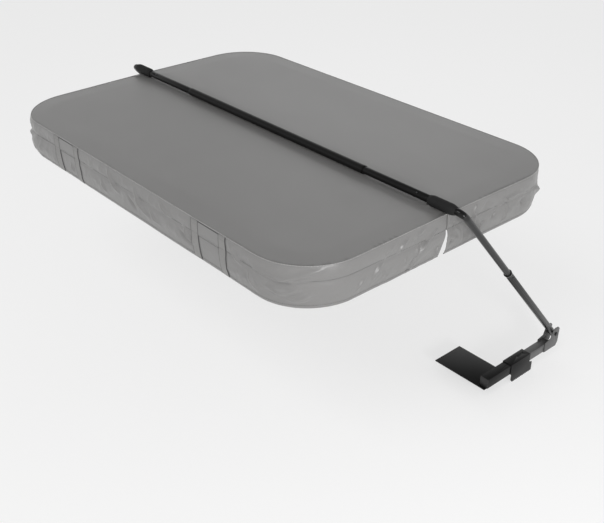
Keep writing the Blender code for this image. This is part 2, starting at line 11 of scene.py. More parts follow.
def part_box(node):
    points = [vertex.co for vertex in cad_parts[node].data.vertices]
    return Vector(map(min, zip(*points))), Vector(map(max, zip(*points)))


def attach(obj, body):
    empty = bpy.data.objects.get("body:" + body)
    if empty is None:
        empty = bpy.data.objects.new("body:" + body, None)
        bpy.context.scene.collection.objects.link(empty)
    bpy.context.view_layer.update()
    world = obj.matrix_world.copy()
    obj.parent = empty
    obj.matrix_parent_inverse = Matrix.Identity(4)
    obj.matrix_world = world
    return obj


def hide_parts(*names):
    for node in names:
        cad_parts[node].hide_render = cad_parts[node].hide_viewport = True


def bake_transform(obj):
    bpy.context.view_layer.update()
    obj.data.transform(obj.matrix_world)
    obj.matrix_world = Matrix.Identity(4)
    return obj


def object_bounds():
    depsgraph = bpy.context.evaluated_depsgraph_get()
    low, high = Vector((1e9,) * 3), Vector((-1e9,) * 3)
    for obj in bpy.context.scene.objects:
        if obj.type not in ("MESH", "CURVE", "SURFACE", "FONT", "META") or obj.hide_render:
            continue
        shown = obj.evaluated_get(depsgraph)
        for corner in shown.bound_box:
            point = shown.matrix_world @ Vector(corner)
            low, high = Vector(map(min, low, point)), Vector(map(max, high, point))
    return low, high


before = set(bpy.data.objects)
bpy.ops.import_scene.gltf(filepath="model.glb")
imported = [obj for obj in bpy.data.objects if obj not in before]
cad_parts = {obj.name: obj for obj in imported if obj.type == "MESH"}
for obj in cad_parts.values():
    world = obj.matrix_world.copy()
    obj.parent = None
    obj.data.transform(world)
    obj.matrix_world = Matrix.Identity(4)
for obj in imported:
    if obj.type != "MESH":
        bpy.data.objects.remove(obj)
cad_box = [list(corner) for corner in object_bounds()]
bpy.ops.object.select_all(action="DESELECT")


# ---- Vinyl -----------------------------------------------------------------------------------
# The cover is sewn from one marine-grade vinyl: a knit backing with a satin grey face that carries a
# fine pressed leather grain. Handling and sun leave it a little uneven in tone and gloss.

VINYL_GREY = (0.208, 0.205, 0.202)


def node_tree_parts(tree):
    """Short ways to add a node and to join two sockets of one tree."""
    def add(kind, **settings):
        node = tree.nodes.new(kind)
        for key, value in settings.items():
            if hasattr(node, key):
                setattr(node, key, value)
            else:
                node.inputs[key.replace("_", " ")].default_value = value
        return node
    return add, tree.links.new


def new_group(name, inputs, outputs):
    """An empty shader group with float inputs (name: value), a vector input and float outputs."""
    tree = bpy.data.node_groups.new(name, "ShaderNodeTree")
    tree.interface.new_socket("Vector", in_out="INPUT", socket_type="NodeSocketVector")
    for label, value in inputs.items():
        socket = tree.interface.new_socket(label, in_out="INPUT", socket_type="NodeSocketFloat")
        socket.default_value = value
    for label in outputs:
        tree.interface.new_socket(label, in_out="OUTPUT", socket_type="NodeSocketFloat")
    add, link = node_tree_parts(tree)
    return tree, add, link, add("NodeGroupInput"), add("NodeGroupOutput")


def leather_grain_group():
    """Pressed grain: small rounded cells with fine creases between them, over a soft pebble."""
    tree, add, link, given, put = new_group("Pressed grain", {"Scale": 700.0}, ["Height", "Creases"])
    cells = add("ShaderNodeTexVoronoi", feature="DISTANCE_TO_EDGE")
    link(given.outputs["Vector"], cells.inputs["Vector"])
    link(given.outputs["Scale"], cells.inputs["Scale"])
    rounded = add("ShaderNodeMapRange", interpolation_type="SMOOTHSTEP", From_Min=0.0, From_Max=0.22)
    link(cells.outputs["Distance"], rounded.inputs["Value"])
    pebble = add("ShaderNodeTexNoise", Detail=3.0, Roughness=0.6)
    slower = add("ShaderNodeMath", operation="MULTIPLY")
    slower.inputs[1].default_value = 0.35
    link(given.outputs["Scale"], slower.inputs[0])
    link(given.outputs["Vector"], pebble.inputs["Vector"])
    link(slower.outputs[0], pebble.inputs["Scale"])
    both = add("ShaderNodeMath", operation="MULTIPLY_ADD")
    both.inputs[1].default_value = 0.8
    link(pebble.outputs["Fac"], both.inputs[0])
    link(rounded.outputs["Result"], both.inputs[2])
    link(both.outputs[0], put.inputs["Height"])
    link(rounded.outputs["Result"], put.inputs["Creases"])
    return tree


def drift_group():
    """Slow unevenness of tone: one cloudy noise of several octaves, centred on one."""
    tree, add, link, given, put = new_group("Tone drift", {"Scale": 3.0, "Amount": 0.06}, ["Factor", "Cloud"])
    cloud = add("ShaderNodeTexNoise", Detail=5.0, Roughness=0.55, Distortion=0.3)
    link(given.outputs["Vector"], cloud.inputs["Vector"])
    link(given.outputs["Scale"], cloud.inputs["Scale"])
    centred = add("ShaderNodeMath", operation="SUBTRACT")
    centred.inputs[1].default_value = 0.5
    link(cloud.outputs["Fac"], centred.inputs[0])
    spread = add("ShaderNodeMath", operation="MULTIPLY")
    link(centred.outputs[0], spread.inputs[0])
    link(given.outputs["Amount"], spread.inputs[1])
    factor = add("ShaderNodeMath", operation="MULTIPLY_ADD")
    factor.inputs[1].default_value = 2.0
    factor.inputs[2].default_value = 1.0
    link(spread.outputs[0], factor.inputs[0])
    link(factor.outputs[0], put.inputs["Factor"])
    link(cloud.outputs["Fac"], put.inputs["Cloud"])
    return tree


leather_grain = leather_grain_group()
tone_drift = drift_group()


def start_material(name, color, roughness, metallic=0.0, **shader_values):
    """A Principled material with its plain values on the shader's own sockets."""
    material = bpy.data.materials.new(name)
    material.use_nodes = True
    material.diffuse_color = (*color, 1.0)
    shader = material.node_tree.nodes["Principled BSDF"]
    shader.inputs["Base Color"].default_value = (*color, 1.0)
    shader.inputs["Roughness"].default_value = roughness
    shader.inputs["Metallic"].default_value = metallic
    for key, value in shader_values.items():
        shader.inputs[key.replace("_", " ")].default_value = value
    add, link = node_tree_parts(material.node_tree)
    place = add("ShaderNodeTexCoord")
    return material, shader, add, link, place.outputs["Object"]


def drifting_color(add, link, where, shader, color, amount, scale):
    """Feed the base colour through the tone drift, and return the multiplied colour's socket."""
    drift = add("ShaderNodeGroup", node_tree=tone_drift, Scale=scale, Amount=amount)
    link(where, drift.inputs["Vector"])
    tinted = add("ShaderNodeVectorMath", operation="SCALE")
    tinted.inputs[0].default_value = color
    link(drift.outputs["Factor"], tinted.inputs["Scale"])
    link(tinted.outputs["Vector"], shader.inputs["Base Color"])
    return tinted.outputs["Vector"], drift.outputs["Cloud"]


def shaded_color(add, link, color, factor, shader):
    """Feed the base colour with a colour's socket times a factor's."""
    scaled = add("ShaderNodeVectorMath", operation="SCALE")
    link(color, scaled.inputs[0])
    link(factor, scaled.inputs["Scale"])
    link(scaled.outputs["Vector"], shader.inputs["Base Color"])


def varied_roughness(add, link, mask, shader, low, high):
    """Roughness that runs from low to high as a mask goes from 0 to 1."""
    spread = add("ShaderNodeMapRange", To_Min=low, To_Max=high)
    link(mask, spread.inputs["Value"])
    link(spread.outputs["Result"], shader.inputs["Roughness"])


def bumped(add, link, height, shader, strength, distance):
    """Surface relief of a given depth in metres."""
    bump = add("ShaderNodeBump", Strength=strength, Distance=distance)
    link(height, bump.inputs["Height"])
    link(bump.outputs["Normal"], shader.inputs["Normal"])


def vinyl_material(name, color, gloss=0.34, grain=0.16):
    material, shader, add, link, where = start_material(name, color, gloss, Specular_IOR_Level=0.5)
    tinted, cloud = drifting_color(add, link, where, shader, color, 0.035, 2.6)
    cells = add("ShaderNodeGroup", node_tree=leather_grain, Scale=620.0)
    link(where, cells.inputs["Vector"])
    # The grain's creases are drawn up to a tenth darker than the cells between them.
    darker_in_grain_creases = add("ShaderNodeMapRange", To_Min=0.90, To_Max=1.0)
    link(cells.outputs["Creases"], darker_in_grain_creases.inputs["Value"])
    shaded_color(add, link, tinted, darker_in_grain_creases.outputs["Result"], shader)
    varied_roughness(add, link, cloud, shader, gloss - 0.05, gloss + 0.06)
    bumped(add, link, cells.outputs["Height"], shader, grain, 0.0003)
    return material


vinyl = vinyl_material("Grey marine vinyl", VINYL_GREY)
vinyl_back = vinyl_material("Vinyl underside", (0.150, 0.149, 0.148), 0.55, 0.2)


# ---- Side cloth of each half -------------------------------------------------------------------
# Band and skirt are cut a little longer than the foam they wrap and are sewn at the welt, along the
# band's lower seam and at the hem, so the vinyl between the seams puckers and hangs in soft folds.

jacket_low, jacket_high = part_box("front_jacket")
half_width = jacket_high.x
half_depth = -jacket_low.y
fold_gap = -jacket_high.y
fold_top = jacket_high.z
jacket_bottom = jacket_low.z
hem_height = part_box("front_skirt")[0].z
top_fall = 0.006
corner_radius = 0.250
skirt_tuck = 0.014
seam_height = 0.9055
side_run = half_depth - corner_radius - fold_gap
corner_run = corner_radius * pi / 2
edge_length = 2 * (side_run + corner_run + half_width - corner_radius)
column_count = 418
band_rows = 9
skirt_rows = 14
handle_x = 0.530
fold_strength = 2.5
top_pitch = 0.026
bottom_pitch = 0.060
fold_corner_x = 1.005


def edge_point(side, run):
    """Point and outward direction at a distance along a half's edge, from its fold end on +X."""
    if run > edge_length / 2:
        x, y, out_x, out_y = edge_point(side, edge_length - run)
        return -x, y, -out_x, out_y
    if run < side_run:
        return half_width, side * (fold_gap + run), 1.0, 0.0
    if run < side_run + corner_run:
        turn = (run - side_run) / corner_radius
        x = half_width - corner_radius + corner_radius * cos(turn)
        return x, side * (half_depth - corner_radius + corner_radius * sin(turn)), cos(turn), side * sin(turn)
    return half_width - corner_radius - (run - side_run - corner_run), side * half_depth, 0.0, side


def outward_at(side, step):
    """Outward direction at one column of the side cloth."""
    _, _, out_x, out_y = edge_point(side, edge_length * step / column_count)
    return Vector((out_x, out_y, 0.0))


def edge_run(side, x, y):
    """Distance along a half's edge of a point near it."""
    depth = side * y - (half_depth - corner_radius)
    beyond = abs(x) - (half_width - corner_radius)
    if depth <= 0:
        run = side * y - fold_gap
    elif beyond <= 0:
        run = side_run + corner_run - beyond
    else:
        run = side_run + corner_radius * atan2(depth, beyond)
    return run if x >= 0 else edge_length - run


def top_height(y):
    """The lid falls a little from the fold to its edge, so that rain runs off."""
    return fold_top - top_fall * abs(y) / half_depth


def seam_wave(x, y):
    """Height of the band's lower seam, which wanders by a few millimetres."""
    return seam_height + 0.0042 * noise.noise(Vector((x * 3.1, y * 3.1, 4.0)))


def slack(side, run, height, share, band):
    """How far the loose vinyl between two seams stands off the foam; share runs from 0 to 1 between them."""
    seed = 20.0 + 9.0 * side
    between = sin(pi * share) ** 0.7 if band else sin(pi * (0.06 + 0.84 * share)) ** 0.8
    swell = noise.noise(Vector((run * 5.5 + height * 4.0, height * 12.0 - run * 1.5, seed)))
    fold = noise.noise(Vector((run * 13.0 + height * 17.0, height * 8.0 - run * 5.0, seed + 5.0)))
    fine = noise.noise(Vector((run * 31.0 + height * 38.0, height * 17.0 - run * 9.0, seed + 8.0)))
    ridge = max(0.0, 1.0 - 3.2 * abs(fold)) ** 2 + 0.5 * max(0.0, 1.0 - 4.0 * abs(fine)) ** 2
    patch = max(0.15, min(1.0, 0.65 + 1.6 * noise.noise(Vector((run * 2.6, height * 6.0, seed + 2.0)))))
    held_flat = 1.0
    if side < 0 and side_run + corner_run < run < edge_length - side_run - corner_run:
        x = edge_point(side, run)[0]
        held_flat = 1.0 - 0.75 * exp(-((abs(x) - handle_x) / 0.10) ** 4)
    far_left = 1.0 + 0.8 * max(0.0, min(1.0, (run - 2.2) / 0.4))
    reach = 0.0042 + 0.0050 * swell + 0.0034 * patch * ridge
    return max(0.0, between * held_flat * far_left * reach)


def settled_rows(side):
    """Points of one half's side cloth, row by row from the welt to the hem."""
    rows = []
    for row in range(band_rows + skirt_rows + 1):
        points = []
        for step in range(column_count + 1):
            run = edge_length * step / column_count
            x, y, out_x, out_y = edge_point(side, run)
            top, seam = top_height(y), seam_wave(x, y)
            if row <= band_rows:
                share, inset = row / band_rows, 0.0
                height = top + (seam - top) * share
            else:
                share = (row - band_rows) / skirt_rows
                inset = skirt_tuck * share ** 1.4
                height = seam + (hem_height - seam) * share
            off = slack(side, run, height, share, row <= band_rows) - inset
            points.append(Vector((x + out_x * off, y + out_y * off, height)))
        rows.append(points)
    return rows


# Sharp folds where the vinyl is stretched: (run along the edge, height) at each end, half-width across
# and how far they stand proud, negative for a valley. Many ends within 0.5 m of the fold on +X, and some
# round the front right corner, are measured places in metres; the others are estimates.
side_folds = {
    -1: (
        ((0.060, 0.931), (0.180, 0.810), 0.0060, 0.0050),
        ((0.105, 0.882), (0.205, 0.800), 0.0100, -0.0020),
        ((0.214, 0.951), (0.262, 0.908), 0.0060, 0.0035),
        ((0.341, 0.901), (0.385, 0.847), 0.0060, 0.0038),
        ((0.428, 0.868), (0.460, 0.830), 0.0060, 0.0030),
        ((0.027, 0.849), (0.041, 0.806), 0.0050, 0.0035),
        ((0.157, 0.898), (0.163, 0.862), 0.0060, 0.0025),
        ((0.219, 0.874), (0.221, 0.842), 0.0060, 0.0025),
        ((0.325, 0.862), (0.327, 0.830), 0.0060, 0.0025),
        ((0.120, 0.960), (0.185, 0.925), 0.0070, 0.0022),
        ((0.280, 0.955), (0.330, 0.915), 0.0070, 0.0020),
        ((0.862, 0.919), (0.615, 0.958), 0.0130, 0.0052),
        ((0.850, 0.905), (0.640, 0.940), 0.0090, -0.0040),
        ((0.780, 0.912), (0.650, 0.926), 0.0080, 0.0045),
        ((0.800, 0.866), (0.690, 0.874), 0.0110, 0.0055),
        ((0.740, 0.838), (0.640, 0.850), 0.0110, 0.0045),
        ((0.900, 0.890), (0.860, 0.830), 0.0110, 0.0040),
        ((1.000, 0.940), (0.940, 0.900), 0.0100, 0.0030),
        ((1.330, 0.880), (1.240, 0.850), 0.0100, -0.0035),
        ((1.295, 0.905), (1.250, 0.860), 0.0090, 0.0040),
        ((1.455, 0.948), (1.385, 0.915), 0.0090, 0.0035),
        ((1.530, 0.882), (1.475, 0.845), 0.0090, 0.0035),
        ((1.645, 0.935), (1.555, 0.848), 0.0110, 0.0045),
        ((1.700, 0.890), (1.650, 0.845), 0.0100, -0.0030),
        ((1.845, 0.956), (1.775, 0.880), 0.0100, 0.0045),
        ((1.910, 0.880), (1.880, 0.835), 0.0100, 0.0030),
        ((2.180, 0.862), (2.172, 0.828), 0.0090, 0.0030),
        ((2.560, 0.890), (2.660, 0.850), 0.0110, 0.0045),
        ((2.620, 0.930), (2.760, 0.905), 0.0110, 0.0040),
        ((3.050, 0.930), (3.130, 0.850), 0.0090, 0.0040),
        ((3.230, 0.940), (3.290, 0.830), 0.0080, 0.0042)),
    1: (
        ((0.163, 0.966), (0.144, 0.935), 0.0060, 0.0035),
        ((0.144, 0.935), (0.160, 0.890), 0.0060, 0.0045),
        ((0.160, 0.890), (0.205, 0.817), 0.0060, 0.0040),
        ((0.334, 0.933), (0.358, 0.898), 0.0060, 0.0032),
        ((0.358, 0.898), (0.366, 0.850), 0.0060, 0.0038),
        ((0.366, 0.850), (0.347, 0.822), 0.0060, 0.0028),
        ((0.215, 0.945), (0.235, 0.930), 0.0140, -0.0045),
        ((0.270, 0.882), (0.285, 0.868), 0.0140, -0.0045),
        ((0.208, 0.866), (0.220, 0.852), 0.0130, -0.0040),
        ((0.455, 0.880), (0.480, 0.862), 0.0160, -0.0050),
        ((0.300, 0.905), (0.470, 0.912), 0.0080, 0.0030),
        ((0.022, 0.926), (0.030, 0.912), 0.0110, -0.0030),
        ((0.030, 0.852), (0.036, 0.838), 0.0110, -0.0035),
        ((0.050, 0.900), (0.090, 0.830), 0.0070, 0.0030),
        ((0.560, 0.900), (0.640, 0.840), 0.0100, 0.0050),
        ((0.700, 0.930), (0.820, 0.900), 0.0110, 0.0045),
        ((1.100, 0.940), (1.200, 0.860), 0.0100, 0.0045),
        ((1.350, 0.890), (1.400, 0.830), 0.0090, 0.0035),
        ((1.600, 0.950), (1.700, 0.870), 0.0100, 0.0045),
        ((1.900, 0.880), (1.960, 0.835), 0.0090, 0.0035),
        ((2.200, 0.940), (2.300, 0.860), 0.0100, 0.0045),
        ((2.600, 0.930), (2.720, 0.860), 0.0110, 0.0045),
        ((3.080, 0.930), (3.140, 0.840), 0.0080, 0.0042),
        ((3.250, 0.940), (3.300, 0.850), 0.0070, 0.0035)),
}


def fold_push(side, x, y, height):
    """How far the sharp folds lift a point of the side cloth outwards."""
    run = edge_run(side, x, y)
    push = 0.0
    for (start_run, start_height), (end_run, end_height), spread, proud in side_folds[side]:
        along_run, along_height = end_run - start_run, end_height - start_height
        reach = along_run ** 2 + along_height ** 2
        share = ((run - start_run) * along_run + (height - start_height) * along_height) / reach
        clamped = min(1.0, max(0.0, share))
        gap_run = run - start_run - clamped * along_run
        gap_height = height - start_height - clamped * along_height
        bow = 0.10 * sin(pi * clamped) * reach ** 0.5
        normal_run, normal_height = -along_height / reach ** 0.5, along_run / reach ** 0.5
        away = (gap_run - bow * normal_run) ** 2 + (gap_height - bow * normal_height) ** 2
        if away < (4 * spread) ** 2:
            taper = min(1.0, 0.25 + 3.0 * clamped * (1.0 - clamped))
            push += fold_strength * proud * taper * exp(-away / spread ** 2)
    fade = min(1.0, max(0.0, (top_height(y) - 0.004 - height) / 0.014))
    return push * fade


def fold_move(side, x, y, height):
    """Move of a cloth point under the sharp folds; it never sinks into the foam behind it."""
    edge_x, edge_y, out_x, out_y = edge_point(side, min(edge_length, max(0.0, edge_run(side, x, y))))
    push = fold_push(side, x, y, height)
    stands = out_x * (x - edge_x) + out_y * (y - edge_y)
    if stands < -0.003 and height > jacket_bottom - 0.001:
        return Vector()
    give = 0.25 * max(0.0, jacket_bottom - height)
    push = max(push, 0.0003 - stands - give)
    return Vector((out_x * push, out_y * push, 0.0))


def use(piece):
    """Make one piece the only selected one and the active one."""
    bpy.ops.object.select_all(action="DESELECT")
    piece.select_set(True)
    bpy.context.view_layer.objects.active = piece
    return piece


def apply_modifier(piece, kind, **settings):
    """Add one modifier with its settings and apply it."""
    use(piece)
    modifier = piece.modifiers.new(kind.title(), kind)
    for key, value in settings.items():
        setattr(modifier, key, value)
    bpy.ops.object.modifier_apply(modifier=modifier.name)


def smooth(piece, degrees):
    """Smooth shading, kept crisp at edges that turn by more than an angle."""
    use(piece)
    bpy.ops.object.shade_smooth_by_angle(angle=radians(degrees))


def grow_rounder(piece):
    """One level of subdivision, applied."""
    apply_modifier(piece, "SUBSURF", levels=1, render_levels=1)


def fit_out(piece, name, material, slot, body, *stands_for):
    """Name a finished piece, give it its material, hide the frame parts it stands for and hang it on the body
    it moves with; slot is not used.
    """
    piece.name = name
    piece.data.name = name
    piece.data.materials.clear()
    piece.data.materials.append(material)
    if stands_for:
        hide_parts(*stands_for)
    if body:
        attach(piece, body)
    bpy.ops.object.select_all(action="DESELECT")
    return piece


def linked(data):
    """A new object in the scene from a mesh, curve, light or camera."""
    item = bpy.data.objects.new(data.name, data)
    bpy.context.collection.objects.link(item)
    return item


def piece_from(points, faces):
    """A new object from points and faces."""
    mesh = bpy.data.meshes.new("new piece")
    mesh.from_pydata(points, [], faces)
    mesh.update()
    return linked(mesh)


def sheet_from_rows(rows, flip):
    """A grid of points, each row as long as the others, as one sheet of quads."""
    width = len(rows[0])
    faces = []
    for row in range(len(rows) - 1):
        for step in range(width - 1):
            corner = row * width + step
            quad = (corner, corner + width, corner + width + 1, corner + 1)
            faces.append(quad[::-1] if flip else quad)
    return piece_from([point for points in rows for point in points], faces)


side_rows = {side: settled_rows(side) for side in (-1, 1)}
half_names = {-1: "front", 1: "rear"}


# ---- Padded jackets ----------------------------------------------------------------------------
# Each half is a tapered foam slab in a sewn vinyl jacket: top panel, boxing band, bottom panel and
# the upright face at the fold. The foam fills it, so the panels are nearly flat and only the skin gives.

def inland(x, depth):
    """How far a place in one half's plan lies inside its outline."""
    beyond = max(0.0, abs(x) - (half_width - corner_radius))
    past = max(0.0, depth - (half_depth - corner_radius))
    return min(depth - fold_gap, corner_radius - (beyond ** 2 + past ** 2) ** 0.5)


def panel_faces(build, side, ring, pitch, height_at):
    """Fill a flat ring of vertices: an even grid of quads inside, triangles from the grid to the ring."""
    corners, quads = {}, []

    def corner(column, row):
        if (column, row) not in corners:
            x, y = column * pitch, side * (fold_gap + row * pitch)
            corners[column, row] = build.verts.new((x, y, height_at(y)))
        return corners[column, row]

    columns = int(half_width / pitch) + 1
    for row in range(1, int(half_depth / pitch) + 1):
        for column in range(-columns, columns):
            around = [(column, row), (column + 1, row), (column + 1, row + 1), (column, row + 1)]
            if min(inland(i * pitch, fold_gap + j * pitch) for i, j in around) > pitch * 0.6:
                quads.append(build.faces.new([corner(i, j) for i, j in around]))
    rim = [edge for quad in quads for edge in quad.edges if len(edge.link_faces) == 1]
    outline = [build.edges.get((ring[index - 1], ring[index])) for index in range(len(ring))]
    bmesh.ops.triangle_fill(build, use_beauty=True, edges=list(set(rim + outline)), normal=(0.0, 0.0, 1.0))


def loose_top(side, x, y):
    """Slack of the top panel over the foam: long shallow waves, still at the welt, and pull at the fold."""
    depth = side * y
    still = min(1.0, max(0.0, inland(x, depth) / 0.09))
    wave = 0.0022 * noise.noise(Vector((x * 2.3, y * 3.4, 7.0)))
    wave += 0.0010 * noise.noise(Vector((x * 6.0 + y * 3.0, y * 7.0, 2.0)))
    ridge_x, ridge_y = 0.66 + 0.5 * (depth - 0.10), 0.14
    ridge = 0.0030 * exp(-((x - ridge_x) / 0.055) ** 2 - ((depth - ridge_y) / 0.07) ** 2) if side < 0 else 0.0
    pucker = 0.0007 * sin(x * 2 * pi / 0.021) * exp(-((depth - 0.040) / 0.010) ** 2)
    sag = 0.0045 * exp(-((abs(x) - half_width) / 0.030) ** 2 - ((depth - fold_gap) / 0.045) ** 2)
    return still * (0.0034 + wave + ridge) + pucker - sag


def build_jacket(side):
    rows = side_rows[side]
    build = bmesh.new()
    band = [[build.verts.new(point) for point in points] for points in rows[:band_rows]]
    lip, foot = [], []
    for step, point in enumerate(rows[band_rows]):
        out = outward_at(side, step)
        lip.append(build.verts.new(point + out * 0.0026))
        foot.append(build.verts.new((point.x - out.x * 0.006, point.y - out.y * 0.006, jacket_bottom)))
    band += [lip, foot]
    for upper, lower in zip(band, band[1:]):
        for step in range(column_count):
            build.faces.new((upper[step], lower[step], lower[step + 1], upper[step + 1]))
    fold_steps = 84
    fold_grid = []
    for points in band:
        right, left = points[0], points[-1]
        between = [right]
        for step in range(1, fold_steps):
            place = right.co.lerp(left.co, step / fold_steps)
            between.append(build.verts.new((place.x, side * fold_gap, place.z)))
        fold_grid.append(between + [left])
    for upper, lower in zip(fold_grid, fold_grid[1:]):
        for step in range(fold_steps):
            build.faces.new((upper[step], upper[step + 1], lower[step + 1], lower[step]))
    top_ring = band[0] + fold_grid[0][-2:0:-1]
    panel_faces(build, side, top_ring, top_pitch, top_height)
    bottom_ring = band[-1] + fold_grid[-1][-2:0:-1]
    panel_faces(build, side, bottom_ring, bottom_pitch, lambda y: jacket_bottom)
    bmesh.ops.recalc_face_normals(build, faces=build.faces)
    sharp = build.edges.layers.float.new("crease_edge")
    kept = set(band[0]) | set(fold_grid[0]) | set(lip) | set(foot) | set(fold_grid[-1])
    for edge in build.edges:
        if edge.verts[0] in kept and edge.verts[1] in kept:
            normals = [face.normal for face in edge.link_faces]
            if len(normals) == 2 and normals[0].angle(normals[1], 0.0) > radians(50):
                edge[sharp] = 0.9
    mesh = bpy.data.meshes.new("jacket")
    build.to_mesh(mesh)
    build.free()
    jacket = linked(mesh)
    grow_rounder(jacket)
    facing = [vertex.normal.z for vertex in jacket.data.vertices]
    for vertex, up in zip(jacket.data.vertices, facing):
        x, y, height = vertex.co
        if up > 0.8 and height > top_height(y) - 0.004:
            vertex.co.z += loose_top(side, x, y)
        elif abs(x) > fold_corner_x and abs(y) < fold_gap + 0.03 and height > jacket_bottom + 0.002:
            near = exp(-((abs(y) - fold_gap) / 0.012) ** 2)
            vertex.co.y -= side * (fold_gap - 0.0004) * near * min(1.0, (abs(x) - fold_corner_x) / 0.02)
        elif abs(up) < 0.75 and abs(y) > fold_gap + 0.004 and height < top_height(y) - 0.002:
            vertex.co += fold_move(side, x, y, height)
    smooth(jacket, 60)
    name = half_names[side]
    fit_out(jacket, f"{name}_jacket_skin", vinyl, "vinyl", f"{name}_half", f"{name}_jacket")
    return jacket


jackets = {side: build_jacket(side) for side in (-1, 1)}


# ---- Skirts and hems ---------------------------------------------------------------------------
# A vinyl skirt hangs from the band seam over the tub's rim. Its lower edge is turned and bound, and
# it leans in at the hem; at the fold the two skirts part in a narrow upturned V.

def parted(side, step, share):
    """How far the skirt's ends draw back from the fold towards the hem."""
    run = edge_length * step / column_count
    near = min(run, edge_length - run)
    widest = 0.021 if side < 0 else 0.006
    return widest * share ** 1.3 * exp(-(near / 0.05) ** 2)


def build_skirt(side):
    rows = []
    for row in range(band_rows, band_rows + skirt_rows + 1):
        share = (row - band_rows) / skirt_rows
        points = []
        for step, point in enumerate(side_rows[side][row]):
            moved = point + Vector((0.0, side * parted(side, step, share), 0.0))
            if row == band_rows:
                moved += Vector((0.0, 0.0, 0.0030)) - outward_at(side, step) * 0.0018
            points.append(moved)
        rows.append(points)
    skirt = sheet_from_rows(rows, side > 0)
    grow_rounder(skirt)
    for vertex in skirt.data.vertices:
        x, y, height = vertex.co
        fade = min(1.0, max(0.0, (height - hem_height) / 0.012))
        vertex.co += fold_move(side, x, y, height) * fade
    apply_modifier(skirt, "SOLIDIFY", thickness=0.0016, offset=-1.0)
    smooth(skirt, 60)
    name = half_names[side]
    fit_out(skirt, f"{name}_skirt_cloth", vinyl, "vinyl", f"{name}_half", f"{name}_skirt")
    return skirt


def build_hem(side):
    """The bound edge folded round the skirt's lower edge."""
    rows = [[], [], [], [], []]
    for step in range(column_count + 1):
        out = outward_at(side, step)
        draw = Vector((0.0, side * parted(side, step, 1.0), 0.0))
        upper = side_rows[side][-2][step].lerp(side_rows[side][-3][step], 0.4) + draw
        lower = side_rows[side][-1][step] + draw
        rows[0].append(upper + out * 0.0006)
        rows[1].append(upper.lerp(lower, 0.15) + out * 0.0016)
        rows[2].append(lower + out * 0.0014)
        rows[3].append(lower - out * 0.0008 - Vector((0.0, 0.0, 0.0014)))
        rows[4].append(lower - out * 0.0028)
    hem = sheet_from_rows(rows, side > 0)
    apply_modifier(hem, "SOLIDIFY", thickness=0.0010, offset=-1.0)
    smooth(hem, 60)
    name = half_names[side]
    return fit_out(hem, f"{name}_hem", vinyl, "vinyl", f"{name}_half")


skirts, hems = {}, {}
for side in (-1, 1):
    skirts[side] = build_skirt(side)
    hems[side] = build_hem(side)


# ---- Welts and topstitching --------------------------------------------------------------------
# The top panel is joined to the band by a piped welt with a row of pale thread under it. Lock
# stitches of the same thread run along the band seam and above each hem.

def thread_material(name, color):
    material, shader, add, link, where = start_material(name, color, 0.6)
    twist = add(
        "ShaderNodeTexWave", wave_type="BANDS", bands_direction="DIAGONAL", Scale=900.0, Distortion=1.0)
    link(where, twist.inputs["Vector"])
    drifting_color(add, link, where, shader, color, 0.20, 60.0)
    bumped(add, link, twist.outputs["Fac"], shader, 0.4, 0.0002)
    return material


pale_thread = thread_material("Pale thread", (0.66, 0.66, 0.64))
dark_thread = thread_material("Dark thread", (0.060, 0.060, 0.060))


def run_points(side, row, offset, drop):
    """Points along one row of the side cloth, moved out and down, with their outward directions."""
    found = []
    for step, point in enumerate(side_rows[side][row]):
        out = outward_at(side, step)
        found.append((point + out * offset - Vector((0.0, 0.0, drop)), out))
    return found


def stitch_shape():
    """One stitch, a metre-long lens with a few faces, which is copied and shrunk along each seam."""
    bpy.ops.mesh.primitive_ico_sphere_add(subdivisions=1, radius=0.5)
    lens = bpy.context.object
    points = [vertex.co.copy() for vertex in lens.data.vertices]
    faces = [tuple(face.vertices) for face in lens.data.polygons]
    bpy.data.objects.remove(lens)
    return points, faces


stitch_points, stitch_faces = stitch_shape()


def stitch_row(path, pitch, length, thickness):
    """Copies of the stitch laid along a path of (point, outward) at an even pitch, as one mesh."""
    points, faces = [], []
    travelled, wanted = 0.0, pitch / 2
    for (start, out), (end, _) in zip(path, path[1:]):
        gap = (end - start).length
        while wanted <= travelled + gap and gap > 0:
            centre = start.lerp(end, (wanted - travelled) / gap)
            along = (end - start).normalized()
            across = out.cross(along).normalized()
            first = len(points)
            for point in stitch_points:
                sideways = across * point.y * thickness + out * point.z * thickness
                points.append(centre + along * point.x * length + sideways)
            faces += [tuple(index + first for index in face) for face in stitch_faces]
            wanted += pitch
        travelled += gap
    piece = piece_from(points, faces)
    use(piece)
    bpy.ops.object.shade_smooth()
    return piece


def straight_seam(start, end, steps, out):
    """Even points from start to end, each with the same outward direction."""
    first, last, outward = Vector(start), Vector(end), Vector(out)
    return [(first.lerp(last, step / steps), outward) for step in range(steps + 1)]


def cord_along(path, radius, sides=2):
    """A round cord swept along points, made a mesh."""
    curve = bpy.data.curves.new("cord", "CURVE")
    curve.dimensions = "3D"
    curve.bevel_depth = radius
    curve.bevel_resolution = sides
    curve.use_fill_caps = True
    spline = curve.splines.new("POLY")
    spline.points.add(len(path) - 1)
    for knot, point in zip(spline.points, path):
        knot.co = (*point, 1.0)
    use(linked(curve))
    bpy.ops.object.convert(target="MESH")
    bpy.ops.object.shade_smooth()
    return bpy.context.object


